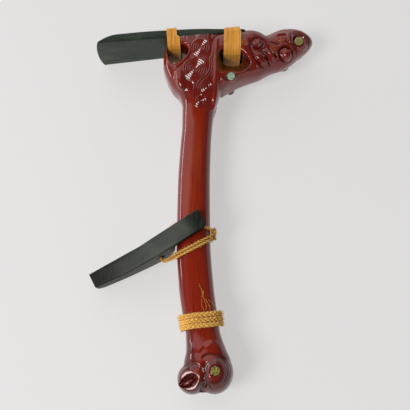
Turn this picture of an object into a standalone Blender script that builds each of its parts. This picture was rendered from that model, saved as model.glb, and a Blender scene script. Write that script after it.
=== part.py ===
# Ceremonial adze: a green stone blade lashed to a carved wooden handle, with a second dark stone tied on.
# It is drawn lying on its side: X runs from the blade to the heel figure, Y from the butt to the blade, Z up.
# The handle is the same on both broad sides, about a level middle plane.

import math

import bmesh
import bpy
import numpy as np
from mathutils import Matrix, Vector
from mathutils.bvhtree import BVHTree

for old in list(bpy.data.objects):
    bpy.data.objects.remove(old, do_unlink=True)

# Driving dimensions, in metres
HANDLE_LENGTH = 0.401
BLADE_LENGTH = 0.1695
BLADE_WIDTH = 0.052
BLADE_BUTT_WIDTH = 0.040
BLADE_THICKNESS = 0.0079
BLADE_BUTT_THICKNESS = 0.0048
BLADE_BEVEL_LENGTH = 0.026
BLADE_EDGE_ARC = 0.004
BLADE_SLOPE = math.radians(6.0)
GRIP_DEPTH = 0.030
LASHING_THICKNESS = 0.0019
FRONT_LASHING_WIDTH = 0.0115
REAR_LASHING_WIDTH = 0.0190
TIED_STONE_LENGTH = 0.1300
TIED_STONE_WIDTH = 0.0190
TIED_STONE_END_WIDTH = 0.0155
TIED_STONE_HOLE = 0.0086
TIE_CORD_DIAMETER = 0.0027
WRAP_CORD_DIAMETER = 0.0044
WRAP_TURNS = 3
EYE_RADIUS = 0.0051
SMALL_EYE_RADIUS = 0.0043
DISC_THICKNESS = 0.0016
GAP = 0.0003
WOOD_TRIANGLES = 3100
CORD_STEP = 0.0065

# One drawing unit of the handle: its free form is drawn on a length of 401 units
UNIT = HANDLE_LENGTH / 401.0
# The adze lies level: the foot with its lashing, and the butt, are as deep as the blade is wide
MIDDLE_HEIGHT = BLADE_WIDTH / 2
FOOT_DEPTH = BLADE_WIDTH - 2 * (LASHING_THICKNESS + GAP)
BUTT_DEPTH = BLADE_WIDTH
# The middle of the lying adze's box on the drawing
BOX_MIDDLE = Vector((0.00035, 0.0072, 0.0))

# Shaft and front of the foot: place along Y, left side, right side (units), share of depth, squareness
SHAFT = (
    (-191, -9, 6, 0.30, 2.0),
    (-186, -17, 15, 0.62, 2.0),
    (-175, -22, 24, 0.86, 2.1),
    (-162, -21, 26, 0.84, 2.2),
    (-150, -18.9, 21.3, 0.74, 2.2),
    (-133, -19.7, 15.4, 0.64, 2.2),
    (-113, -23.4, 12.4, 0.60, 2.2),
    (-90, -26.7, 9.3, 0.575, 2.2),
    (-40, -29.8, 5.8, 0.575, 2.2),
    (20, -29.2, 5.4, 0.575, 2.2),
    (65, -26.9, 6.6, 0.59, 2.2),
    (90, -25.2, 8.4, 0.63, 2.3),
    (110, -25.2, 11.5, 0.74, 2.6),
    (122, -28.2, 15.5, 0.86, 3.0),
    (134, -38.0, 18, 0.95, 3.4),
    (146, -43.6, 20, 0.98, 3.8),
    (158, -47.4, 20, 1.0, 4.0),
    (175, -49.0, 20, 1.0, 4.0),
    (200, -49.8, 20, 1.0, 4.0),
)
# Back of the foot and the heel figure: place along X, underside, top side (units), share of depth, squareness
HEEL = (
    (-6, 140, 196, 0.80, 4.0),
    (8, 128, 196, 0.96, 4.0),
    (18, 129, 198, 0.99, 3.8),
    (28, 135, 200, 1.0, 3.6),
    (42, 142, 202, 0.98, 3.3),
    (54, 146, 203.6, 0.92, 3.0),
    (62, 148.4, 202, 0.86, 2.8),
    (69.5, 152.5, 198.4, 0.80, 2.6),
    (77, 156, 202, 0.78, 2.5),
    (88, 159.5, 206.6, 0.77, 2.5),
    (98, 165.5, 207.8, 0.73, 2.4),
    (108, 174, 206, 0.66, 2.3),
    (116, 180.5, 201.5, 0.52, 2.2),
    (121, 186, 197, 0.34, 2.1),
    (123.2, 190, 193, 0.12, 2.0),
)


def material(name, colour, roughness, metallic=0.0):
    mat = bpy.data.materials.new(name)
    mat.use_nodes = True
    shader = mat.node_tree.nodes["Principled BSDF"]
    shader.inputs["Base Color"].default_value = (*colour, 1.0)
    shader.inputs["Roughness"].default_value = roughness
    shader.inputs["Metallic"].default_value = metallic
    return mat


LACQUERED_WOOD = material("lacquered_wood", (0.19, 0.030, 0.016), 0.2)
GREEN_STONE = material("green_stone", (0.045, 0.085, 0.055), 0.3)
DARK_STONE = material("dark_stone", (0.020, 0.030, 0.026), 0.3)
GOLDEN_THREAD = material("golden_thread", (0.62, 0.32, 0.06), 0.6)
GOLDEN_CORD = material("golden_cord", (0.66, 0.40, 0.10), 0.8)
OLIVE_SHELL = material("olive_shell", (0.45, 0.42, 0.10), 0.3)
MINT_SHELL = material("mint_shell", (0.40, 0.70, 0.48), 0.3)


def read_off(stations, at):
    """Values at one place of a table of stations, on a curve that never overshoots them."""
    keys = [row[0] for row in stations]
    place = min(max(at, keys[0]), keys[-1])
    step = min(max(i for i, key in enumerate(keys) if key <= place), len(keys) - 2)

    def slope(i, column):
        if i == 0 or i == len(keys) - 1:
            return 0.0 if len(keys) == 2 else rise(min(i, len(keys) - 2), column)
        before, after = rise(i - 1, column), rise(i, column)
        return 0.0 if before * after <= 0 else 2 * before * after / (before + after)

    def rise(i, column):
        return (stations[i + 1][column] - stations[i][column]) / (keys[i + 1] - keys[i])

    span = keys[step + 1] - keys[step]
    t = (place - keys[step]) / span
    values = []
    for column in range(1, len(stations[0])):
        start, end = stations[step][column], stations[step + 1][column]
        values.append(
            start * (1 + 2 * t) * (1 - t) ** 2
            + end * t * t * (3 - 2 * t)
            + span * slope(step, column) * t * (1 - t) ** 2
            + span * slope(step + 1, column) * t * t * (t - 1)
        )
    return values


def oval(half_a, half_b, squareness, count):
    """Points of a rounded outline, from an ellipse (2) towards a rectangle (4 and more)."""
    points = []
    for i in range(count):
        turn = 2 * math.pi * i / count
        c, s = math.cos(turn), math.sin(turn)
        a = math.copysign(abs(c) ** (2 / squareness), c) * half_a
        b = math.copysign(abs(s) ** (2 / squareness), s) * half_b
        points.append((a, b))
    return points


def skin(rings):
    """A closed mesh through rings of equal point count, with a point at the middle of each end."""
    shape = bmesh.new()
    loops = [[shape.verts.new(point) for point in ring] for ring in rings]
    count = len(loops[0])
    for lower, upper in zip(loops, loops[1:]):
        for i in range(count):
            j = (i + 1) % count
            shape.faces.new((lower[i], lower[j], upper[j], upper[i]))
    for loop in (loops[0], loops[-1]):
        middle = shape.verts.new(sum((v.co for v in loop), Vector()) / count)
        for i in range(count):
            shape.faces.new((loop[i], loop[(i + 1) % count], middle))
    bmesh.ops.recalc_face_normals(shape, faces=shape.faces)
    return shape


def ring_band(outer, inner):
    """A closed ring, like a bangle, between matching outer and inner rows of points."""
    shape = bmesh.new()
    rows = [[shape.verts.new(p) for p in row] for row in (*outer, *reversed(inner))]
    count = len(rows[0])
    for k, row in enumerate(rows):
        after = rows[(k + 1) % len(rows)]
        for i in range(count):
            j = (i + 1) % count
            shape.faces.new((row[i], row[j], after[j], after[i]))
    bmesh.ops.recalc_face_normals(shape, faces=shape.faces)
    return shape


def new_object(name, shapes, mat=None, parent=None):
    """One object from one or more bmeshes, which may still overlap."""
    mesh = bpy.data.meshes.new(name)
    whole = bmesh.new()
    for shape in shapes:
        part = bpy.data.meshes.new("part")
        shape.to_mesh(part)
        shape.free()
        whole.from_mesh(part)
        bpy.data.meshes.remove(part)
    whole.to_mesh(mesh)
    whole.free()
    if mat:
        mesh.materials.append(mat)
    obj = bpy.data.objects.new(name, mesh)
    bpy.context.scene.collection.objects.link(obj)
    obj.parent = parent
    return obj


def apply_modifiers(obj):
    """Keeps the object's shape as its modifiers make it."""
    evaluated = obj.evaluated_get(bpy.context.evaluated_depsgraph_get())
    mesh = bpy.data.meshes.new_from_object(evaluated)
    obj.modifiers.clear()
    obj.data = mesh


def combine(obj, others, operation):
    """Boolean of an object with others, which are used up."""
    for other in others:
        change = obj.modifiers.new(operation, "BOOLEAN")
        change.operation = operation
        change.solver = "EXACT"
        change.object = other
        apply_modifiers(obj)
        bpy.data.objects.remove(other, do_unlink=True)


def remeshed(obj, voxel, smoothing):
    change = obj.modifiers.new("skin", "REMESH")
    change.mode = "VOXEL"
    change.voxel_size = voxel
    if smoothing:
        relax = obj.modifiers.new("relax", "SMOOTH")
        relax.factor = 0.5
        relax.iterations = smoothing
    apply_modifiers(obj)


def reduced(obj, triangles):
    change = obj.modifiers.new("reduce", "DECIMATE")
    mesh = obj.data
    mesh.calc_loop_triangles()
    change.ratio = min(1.0, triangles / len(mesh.loop_triangles))
    change.use_collapse_triangulate = True
    apply_modifiers(obj)


def ellipsoid(centre, radii, turn=0.0, fineness=3):
    shape = bmesh.new()
    bmesh.ops.create_icosphere(shape, subdivisions=fineness, radius=1.0)
    place = Matrix.Translation(centre) @ Matrix.Rotation(turn, 4, "Z") @ Matrix.Diagonal((*radii, 1.0))
    bmesh.ops.transform(shape, matrix=place, verts=shape.verts)
    return shape


def limb(path, radii, flatness=1.0, sides=10):
    """A round-ended limb along points, with a radius at each; flatness scales it across Z."""
    path = [Vector(p) for p in path]
    rings = []
    last = len(path) - 1
    for i, point in enumerate(path):
        along = (path[min(i + 1, last)] - path[max(i - 1, 0)]).normalized()
        side = along.cross(Vector((0, 0, 1))).normalized()
        up = side.cross(along)
        ends = ((-0.96, 0.28), (-0.7, 0.71), (0.0, 1.0)) if i == 0 else ((0.0, 1.0),)
        ends = ((0.0, 1.0), (0.7, 0.71), (0.96, 0.28)) if i == last else ends
        for shift, share in ends:
            middle = point + along * shift * radii[i]
            rings.append(
                [
                    middle
                    + side * math.cos(2 * math.pi * k / sides) * radii[i] * share
                    + up * math.sin(2 * math.pi * k / sides) * radii[i] * share * flatness
                    for k in range(sides)
                ]
            )
    return skin(rings)


def both_sides(maker, *args):
    """The same form on the upper and the lower broad side."""
    return [maker(1, *args), maker(-1, *args)]


# Handle: outline and depth


def shaft_section(y):
    left, right, share, squareness = read_off(SHAFT, y / UNIT)
    depth = share * FOOT_DEPTH
    grip_share = 0.575
    if y / UNIT < 134:
        # The shaft's depth follows the grip's, and the butt's follows the blade's width
        ends = BUTT_DEPTH if y < 0 else FOOT_DEPTH
        blend = (share - grip_share) / (1 - grip_share)
        depth = GRIP_DEPTH + max(blend, -1.0) * (ends - GRIP_DEPTH)
    return (left + right) / 2 * UNIT, (right - left) / 2 * UNIT, depth / 2, squareness


def heel_section(x):
    low, high, share, squareness = read_off(HEEL, x / UNIT)
    return (low + high) / 2 * UNIT, (high - low) / 2 * UNIT, share * FOOT_DEPTH / 2, squareness


def heel_surface(x, y):
    """Half depth of the heel's side where a carved form sits."""
    middle, half, depth, squareness = heel_section(x)
    inside = max(1 - abs((y - middle) / half) ** squareness, 0.02)
    return depth * inside ** (1 / squareness)


def shaft_body():
    rings = []
    low, high = SHAFT[0][0], SHAFT[-1][0]
    for y in np.linspace(low, high, 56) * UNIT:
        middle, half, depth, squareness = shaft_section(y)
        rings.append([(middle + a, y, b) for a, b in oval(half, depth, squareness, 32)])
    return skin(rings)


def heel_body():
    rings = []
    low, high = HEEL[0][0], HEEL[-1][0]
    for x in np.linspace(low, high, 44) * UNIT:
        middle, half, depth, squareness = heel_section(x)
        rings.append([(x, middle + a, b) for a, b in oval(half, depth, squareness, 28)])
    return skin(rings)


def butt_lobes():
    depth = BUTT_DEPTH / 2
    eye_lobe = ellipsoid((9 * UNIT, -172 * UNIT, 0), (19.4 * UNIT, 21.3 * UNIT, depth * 1.04))
    mouth_lobe = ellipsoid((-12.6 * UNIT, -178 * UNIT, 0), (15 * UNIT, 15.4 * UNIT, depth * 0.9))
    return [eye_lobe, mouth_lobe]


# Handle: carved forms, as places in drawing units on one broad side


def on_heel(x, y, lift=0.0, side=1):
    return Vector((x * UNIT, y * UNIT, side * (heel_surface(x * UNIT, y * UNIT) + lift * UNIT)))


def knob(side, x, y, radius, lift):
    return ellipsoid(on_heel(x, y, lift, side), [radius * UNIT] * 3)


def heel_limb(side, points, radii, lift):
    path = [on_heel(x, y, lift, side) for x, y in points]
    return limb(path, [r * UNIT for r in radii])


def almond(side, x, y, long, wide, turn, lift):
    return ellipsoid(
        on_heel(x, y, lift, side), (long * UNIT, wide * UNIT, 3.2 * UNIT), math.radians(turn)
    )


def heel_figure():
    """Eye sockets' ball, shoulder, arm, body ridge, fingers, nose and lips of the carved figure."""
    forms = both_sides(knob, 89.5, 170.6, 6.6, -3.2)
    for x, y, reach, top in ((105.4, 186.2, 10.0, 17.6), (28.6, 141.0, 7.0, 21.6)):
        for side in (1, -1):
            depth = reach * 0.8
            forms.append(
                ellipsoid((x * UNIT, y * UNIT, side * (top - depth) * UNIT), (reach * UNIT, reach * UNIT, depth * UNIT))
            )
    forms += both_sides(knob, 58.0, 181.0, 5.2, -2.6)
    forms += both_sides(almond, 61.5, 165.5, 10.5, 5.4, -45, -0.4)
    forms += both_sides(heel_limb, ((69, 178), (73, 169), (78, 160.5)), (3.0, 3.4, 3.0), -1.0)
    forms += both_sides(heel_limb, ((80, 190), (89, 193), (96, 190)), (2.2, 3.0, 2.2), -1.2)
    forms += both_sides(heel_limb, ((105, 176), (112, 181)), (3.4, 2.6), -1.4)
    for finger in range(4):
        x = 55 + 4.4 * finger
        forms += both_sides(heel_limb, ((x, 157.5 - 0.2 * finger), (x + 1.6, 150.5)), (2.0, 1.6), -0.6)
    forms += both_sides(heel_limb, ((49.5, 152), (53, 147.5)), (2.6, 2.2), -0.8)
    forms += both_sides(heel_limb, ((21, 131.5), (29, 133.0), (38, 140)), (2.0, 3.0, 2.0), -0.2)
    return forms


def foot_limbs():
    """The smooth rolls of the foot: one beside each lashing hole, and one under the front hole."""
    half = FOOT_DEPTH / 2
    forms = []
    for side in (1, -1):
        roll = [(13.5, 184, 0.97), (12.6, 160, 0.97), (12.4, 140, 0.90), (11, 122, 0.74), (8, 108, 0.58)]
        forms.append(
            limb(
                [(x * UNIT, y * UNIT, side * (half * share - 1.6 * UNIT)) for x, y, share in roll],
                [r * UNIT for r in (2.2, 3.2, 3.4, 3.2, 2.4)],
            )
        )
        forms.append(
            ellipsoid(
                (-26.5 * UNIT, 140 * UNIT, side * (half - 5 * UNIT)),
                (6.4 * UNIT, 15 * UNIT, 6 * UNIT),
                math.radians(12),
            )
        )
    return forms


# Handle: cuts


def hole_outline(corners, count=28):
    """A closed round-cornered outline through a few corners, in drawing units."""
    points = []
    total = len(corners)
    for i in range(count):
        at = i * total / count
        k = int(at)
        t = at - k
        a, b, c, d = (Vector(corners[(k + n) % total]) for n in (-1, 0, 1, 2))
        point = 0.5 * (2 * b + (c - a) * t + (2 * a - 5 * b + 4 * c - d) * t * t + (3 * b - a - 3 * c + d) * t**3)
        points.append(point * UNIT)
    return points


def lashing_hole(name, slot, mouth):
    """A hole right through the foot: a slot at the middle plane that flares to each broad side."""
    slot, mouth = hole_outline(slot), hole_outline(mouth)
    half = FOOT_DEPTH / 2
    rings = []
    for share in (-1.5, -1.0, -0.72, -0.4, -0.15, 0.15, 0.4, 0.72, 1.0, 1.5):
        flare = max((abs(share) - 0.15) / 0.85, 0.0) ** 1.6
        rings.append([(*(s + (m - s) * flare), share * half) for s, m in zip(slot, mouth)])
    return new_object(name, [skin(rings)])


def creases():
    """Grooves that part the limbs, the heel figure's ring and the lobes of the butt."""
    half = FOOT_DEPTH / 2
    cuts = []
    for side in (1, -1):
        crease = [(-34.6, 153, 0.99), (-34.4, 145, 0.96), (-31.5, 134, 0.88), (-26.5, 121, 0.66), (-22.5, 108, 0.50)]
        cuts.append(
            limb(
                [(x * UNIT, y * UNIT, side * half * share) for x, y, share in crease],
                [r * UNIT for r in (2.4, 2.2, 2.0, 1.8, 1.0)],
            )
        )
        ring = []
        for i in range(13):
            turn = math.radians(200 - 24 * i)
            ring.append(on_heel(89.5 + 8.3 * math.cos(turn), 170.6 + 8.3 * math.sin(turn), 0.6, side))
        cuts.append(limb(ring, [1.3 * UNIT] * len(ring), sides=8))
        cuts.append(heel_limb(side, ((52, 186), (53, 176), (57, 163), (66, 153.5)), (1.0, 1.4, 1.4, 1.0), 0.7))
        cuts.append(heel_limb(side, ((63, 184), (68.5, 172), (74, 158)), (1.0, 1.3, 1.0), 0.7))
        lobes = [(-3.6, -196, 14), (-2.0, -184, 23), (-1.6, -170, 24), (3, -156, 21)]
        cuts.append(
            limb(
                [(x * UNIT, y * UNIT, side * z * UNIT) for x, y, z in lobes],
                [r * UNIT for r in (2.2, 2.2, 1.8, 1.0)],
            )
        )
    return cuts


def mouths():
    """The almond mouth on each side of the butt, and the tongue that lies in it."""
    cuts, tongues = [], []
    for side in (1, -1):
        place = (-16.6 * UNIT, -180.6 * UNIT, side * 21.5 * UNIT)
        cuts.append(ellipsoid(place, (11.5 * UNIT, 5.6 * UNIT, 5.5 * UNIT), math.radians(28)))
        place = (-15.8 * UNIT, -181.6 * UNIT, side * 15.6 * UNIT)
        tongues.append(ellipsoid(place, (8.2 * UNIT, 2.6 * UNIT, 3.4 * UNIT), math.radians(24), 2))
    return cuts, tongues


# Blade: drawn along its own axis, then sloped onto the foot


BLADE_PLACE = Matrix.Translation((0, 190.4 * UNIT, 0)) @ Matrix.Rotation(BLADE_SLOPE, 4, "Z")
BLADE_TIP = -123.4 * UNIT / math.cos(BLADE_SLOPE)


def blade_section(along):
    """Half width, underside and top side of the blade at a distance from its cutting edge."""
    share = along / BLADE_LENGTH
    half = (BLADE_WIDTH + (BLADE_BUTT_WIDTH - BLADE_WIDTH) * share) / 2
    thick = BLADE_THICKNESS + (BLADE_BUTT_THICKNESS - BLADE_THICKNESS) * max(share - 0.35, 0) / 0.65
    if along < BLADE_BEVEL_LENGTH:
        thick *= math.sin(math.pi / 2 * (along / BLADE_BEVEL_LENGTH)) ** 0.8
    return half, thick


def blade_shape():
    rings = []
    lengths = [0.0012, 0.004, 0.009, 0.016, BLADE_BEVEL_LENGTH, 0.045, 0.080, 0.120, 0.155]
    lengths += [BLADE_LENGTH - 0.004, BLADE_LENGTH]
    for along in lengths:
        half, thick = blade_section(along)
        if along == BLADE_LENGTH:
            half, thick = half * 0.96, thick * 0.7
        corner = min(0.0012, thick * 0.35)
        ring = []
        for across, height in (
            (-half, corner), (-half + corner, 0), (-half * 0.5, 0), (0, 0), (half * 0.5, 0),
            (half - corner, 0), (half, corner), (half, thick - corner), (half - corner, thick),
            (half * 0.5, thick), (0, thick), (-half * 0.5, thick), (-half + corner, thick),
            (-half, thick - corner),
        ):
            fade = max(1 - along / 0.045, 0.0)
            back = BLADE_EDGE_ARC * fade * (abs(across) / half) ** 2.4
            ring.append(BLADE_PLACE @ Vector((BLADE_TIP + along + back, GAP + height, across)))
        rings.append(ring)
    return skin(rings)


def blade_top(x):
    """Height on the drawing of the blade's outer face at a place along X."""
    along = x / math.cos(BLADE_SLOPE) - BLADE_TIP
    half, thick = blade_section(along)
    return (BLADE_PLACE @ Vector((x / math.cos(BLADE_SLOPE), GAP + thick, 0))).y, half


def seat_cutter():
    """Everything above the blade's inner face, as far back as the blade's butt end and its clearance."""
    end = BLADE_TIP + BLADE_LENGTH + 2 * GAP
    shape = bmesh.new()
    bmesh.ops.create_cube(shape, size=1.0)
    size = Vector((0.30, 0.060, 0.20))
    place = Vector((end - size.x / 2, size.y / 2, 0))
    bmesh.ops.transform(
        shape, matrix=BLADE_PLACE @ Matrix.Translation(place) @ Matrix.Diagonal((*size, 1)), verts=shape.verts
    )
    return new_object("seat", [shape])


# Lashings: flat bands round the blade and the bridge of wood above each hole


def lashing_core(x, width, hole_top):
    """Corners of what a lashing goes round, seen along X: blade, foot's sides and the hole's upper side."""
    top = max(blade_top(x + width / 2)[0], blade_top(x - width / 2)[0])
    blade_half = blade_top(x - width / 2)[1]
    foot_half = FOOT_DEPTH / 2
    seat = (BLADE_PLACE @ Vector((x, 0, 0))).y
    return [
        (top, blade_half), (seat, foot_half), (hole_top, foot_half - 0.0012),
        (hole_top, -foot_half + 0.0012), (seat, -foot_half), (top, -blade_half),
    ]


def offset_loop(corners, away, steps=2):
    """The corners' outline, moved outwards, with round corners of that radius."""
    points = []
    total = len(corners)
    for k in range(total):
        before, here, after = (Vector(corners[(k + n) % total]) for n in (-1, 0, 1))
        turns = []
        for a, b in ((before, here), (here, after)):
            edge = b - a
            turns.append(math.atan2(-edge.x, edge.y))
        start = turns[0]
        sweep = (turns[1] - start + math.pi) % (2 * math.pi) - math.pi
        for i in range(steps + 1):
            angle = start + sweep * i / steps
            points.append(here + Vector((math.cos(angle), math.sin(angle))) * away)
    return points


def lashing_band(x, width, lean, hole_top, inner, outer, strands=0):
    """A closed band; with strands its outside is a row of shallow rounds."""
    corners = lashing_core(x, width, hole_top)
    rows = strands * 2 + 1 if strands else 2
    ring_of = []
    middle_y = corners[0][0]
    for row in range(rows):
        shift = (row / (rows - 1) - 0.5) * width
        lift = outer - (0.0005 if strands and row % 2 == 0 else 0.0)
        ring_of.append((shift, offset_loop(corners, lift)))

    def placed(shift, loop):
        return [(x + shift + (middle_y - p.x) * lean, p.x, p.y) for p in loop]

    inside = offset_loop(corners, inner)
    outer_rows = [placed(shift, loop) for shift, loop in ring_of]
    inner_rows = [placed(-width / 2, inside), placed(width / 2, inside)]
    return ring_band(outer_rows, inner_rows)


FRONT_LASHING = {"x": -37.4 * UNIT, "width": FRONT_LASHING_WIDTH, "lean": 0.10, "hole_top": 178.0 * UNIT}
REAR_LASHING = {"x": 31.0 * UNIT, "width": REAR_LASHING_WIDTH, "lean": -0.03, "hole_top": 174.0 * UNIT}

FRONT_SLOT = ((-46, 178.5), (-30, 179), (-20, 179), (-20.5, 168), (-29, 162), (-41, 165))
FRONT_MOUTH = ((-46.5, 178.5), (-30, 179.5), (-18.5, 180), (-18, 167), (-34.6, 149.5), (-43.5, 164))
REAR_SLOT = ((17.5, 174.5), (33, 174.5), (48.5, 174), (49, 164), (33, 156.5), (18, 159))
REAR_MOUTH = ((15, 175.5), (33, 175.5), (47, 174.5), (51.5, 160), (33, 145.5), (15, 147))


# Spirals: raised ribs that lie on the foot's broad sides


SPIRALS = (
    # centre x, centre y, outer radius, turns, direction, starting angle
    (-4.2, 174.5, 10.2, 3.0, 1, 200),
    (-11.6, 147.4, 12.2, 3.6, -1, 20),
    (-0.6, 127.2, 7.6, 2.2, 1, 90),
    (-5.6, 112.4, 6.2, 1.8, -1, 60),
)


SPIRAL_HEART = 1.8


def spiral_rib(surface, side, cx, cy, radius, turns, direction, start):
    steps = int(turns * 8)
    rings = []
    for i in range(steps + 1):
        share = i / steps
        reach = (SPIRAL_HEART + (radius - SPIRAL_HEART) * share) * UNIT
        turn = math.radians(start) + direction * 2 * math.pi * turns * share
        out = Vector((math.cos(turn), math.sin(turn), 0))
        point = Vector((cx * UNIT, cy * UNIT, 0)) + out * reach
        height = side_height(surface, point.x, point.y, side)
        rib_half, rib_height, sunk = 1.15 * UNIT, 0.95 * UNIT, 0.7 * UNIT
        ring = []
        for across, rise in ((-rib_half, -sunk), (rib_half, -sunk), (0.0, rib_height)):
            at = point + out * across
            ring.append((at.x, at.y, side * (height + rise)))
        rings.append(ring)
    return skin(rings)


def side_height(surface, x, y, side):
    """How far the handle reaches from the middle plane at one place, on one side."""
    hit = surface.ray_cast(Vector((x, y, side * 0.1)), Vector((0, 0, -side)))
    return abs(hit[0].z)


# Shell discs


DISCS = (
    # name, x, y, radius, material
    ("heel_eye", 105.4, 186.2, EYE_RADIUS, OLIVE_SHELL),
    ("foot_eye", 28.6, 141.0, SMALL_EYE_RADIUS, MINT_SHELL),
    ("butt_eye", 9.6, -170.4, EYE_RADIUS, OLIVE_SHELL),
)


def disc_bottom(surface, x, y, radius, side):
    """The lowest wood under a disc's rim sets how deep the disc sits."""
    heights = [
        side_height(surface, x + radius * math.cos(a), y + radius * math.sin(a), side)
        for a in np.linspace(0, 2 * math.pi, 12, endpoint=False)
    ]
    return min(heights) - DISC_THICKNESS


def cylinder(x, y, low, high, radius, side, sides=20):
    shape = bmesh.new()
    bmesh.ops.create_cone(
        shape, cap_ends=True, segments=sides, radius1=radius, radius2=radius, depth=high - low
    )
    bmesh.ops.translate(shape, verts=shape.verts, vec=(x, y, side * (low + high) / 2))
    return shape


def shell_disc(name, x, y, bottom, radius, side, mat, parent):
    """A disc with a slightly crowned outer face."""
    rings = []
    for height, share in ((0.0, 1.0), (0.8, 1.0), (1.0, 0.6)):
        level = side * (bottom + GAP + height * DISC_THICKNESS)
        rings.append(
            [
                (x + radius * share * math.cos(a), y + radius * share * math.sin(a), level)
                for a in np.linspace(0, 2 * math.pi, 14, endpoint=False)
            ]
        )
    return new_object(name, [skin(rings)], mat, parent)


# Tied stone: a wedge whose tongue lies over the shaft


STONE_START = Vector((-117.6, -80.4, 0)) * UNIT
STONE_TURN = math.radians(28.0)
STONE_BOW = 0.0028
STONE_BEVEL = 0.0011
HOLE_ALONG = 75.3 * UNIT
HOLE_HEIGHT = -9.0 * UNIT
FLOOR_GAP = 0.0004
TONGUE_CLEARANCE = TIE_CORD_DIAMETER + 4 * GAP


def stone_half(share):
    end = TIED_STONE_END_WIDTH
    return (end + (TIED_STONE_WIDTH - end) * min(share / 0.55, 1.0)) / 2


def stone_point(along, across, height):
    """A point of the tied stone from its place along it, its share of the half width, and its height."""
    share = along / TIED_STONE_LENGTH
    side = across * stone_half(share) - STONE_BOW * 4 * share * (1 - share)
    return STONE_START + Matrix.Rotation(STONE_TURN, 3, "Z") @ Vector((along, side, height))


def step_along():
    """How far along the stone its deep part reaches before the shaft's left side."""
    crossing = stone_point(0.72 * TIED_STONE_LENGTH, -1, 0)
    middle, half, _, _ = shaft_section(crossing.y)
    reach = (middle - half - STONE_START.x) / math.cos(STONE_TURN)
    return reach - 0.5 * TIED_STONE_WIDTH * math.tan(STONE_TURN) - 6 * GAP


def stone_profile():
    """Side outline, as places along the stone and heights from the middle plane."""
    whole = TIED_STONE_LENGTH
    floor = -MIDDLE_HEIGHT + FLOOR_GAP
    tongue = GRIP_DEPTH / 2 + TONGUE_CLEARANCE
    step = step_along()
    top = [(0, -5.6), (0.12, -3.6), (0.24, -0.6), (0.44, 8.6), (0.62, 17.8), (0.79, 24.2), (0.93, 27.6), (1, 26.2)]
    outline = [(share * whole, height * UNIT) for share, height in top]
    outline += [(whole * 0.995, tongue + 0.003), (whole * 0.975, tongue), (step + 0.009, tongue)]
    outline += [(step + 0.003, tongue - 0.003), (step, tongue - 0.010), (step - 0.001, -0.006)]
    outline += [(step - 0.006, floor + 0.004), (step - 0.012, floor), (0.006, floor), (0.001, floor + 0.004)]
    return outline


def stone_shape():
    profile = stone_profile()
    rings = []
    for across in (-1.0, -0.86, 0.0, 0.86, 1.0):
        inset = STONE_BEVEL if abs(across) == 1 else 0.0
        ring = []
        for k, (along, height) in enumerate(profile):
            before, after = Vector(profile[k - 1]), Vector(profile[(k + 1) % len(profile)])
            edge = (after - before).normalized()
            inward = Vector((edge.y, -edge.x)) * inset
            ring.append(stone_point(along + inward.x, across, height + inward.y))
        rings.append(ring)
    return skin(rings)


def hole_cylinder(radius, overshoot):
    """A round bar along the hole of the tied stone, past both of its faces."""
    start = stone_point(HOLE_ALONG, -1, HOLE_HEIGHT)
    end = stone_point(HOLE_ALONG, 1, HOLE_HEIGHT)
    along = (end - start).normalized()
    shape = bmesh.new()
    length = (end - start).length + 2 * overshoot
    bmesh.ops.create_cone(shape, cap_ends=True, segments=16, radius1=radius, radius2=radius, depth=length)
    place = Matrix.Translation((start + end) / 2) @ along.to_track_quat("Z", "Y").to_matrix().to_4x4()
    bmesh.ops.transform(shape, matrix=place, verts=shape.verts)
    return shape


# Cords


def round_shaft(y, turn, away):
    """A point that stands off the shaft; turn 0 is its right side and 90 degrees its upper face."""
    middle, half, depth, squareness = shaft_section(y)
    c, s = math.cos(math.radians(turn)), math.sin(math.radians(turn))
    a = math.copysign(abs(c) ** (2 / squareness), c) * (half + away)
    b = math.copysign(abs(s) ** (2 / squareness), s) * (depth + away)
    return Vector((middle + a, y, b))


def cord(name, points, diameter, mat=None, parent=None, closed=False):
    curve = bpy.data.curves.new(name, "CURVE")
    curve.dimensions = "3D"
    curve.bevel_depth = diameter / 2
    curve.bevel_resolution = 2
    curve.use_fill_caps = True
    spline = curve.splines.new("POLY")
    spline.points.add(len(points) - 1)
    for knot, point in zip(spline.points, points):
        knot.co = (*point, 1.0)
    spline.use_cyclic_u = closed
    if mat:
        curve.materials.append(mat)
    obj = bpy.data.objects.new(name, curve)
    bpy.context.scene.collection.objects.link(obj)
    obj.parent = parent
    return obj


def smooth_route(points, spacing):
    """Evenly spaced points on a smooth curve through a few."""
    route = []
    for k in range(len(points) - 1):
        a, b = points[max(k - 1, 0)], points[k]
        c, d = points[k + 1], points[min(k + 2, len(points) - 1)]
        steps = max(int(round((c - b).length / spacing)), 1)
        for i in range(steps):
            t = i / steps
            route.append(
                0.5 * (2 * b + (c - a) * t + (2 * a - 5 * b + 4 * c - d) * t * t + (3 * b - a - 3 * c + d) * t**3)
            )
    return route + [points[-1]]


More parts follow.
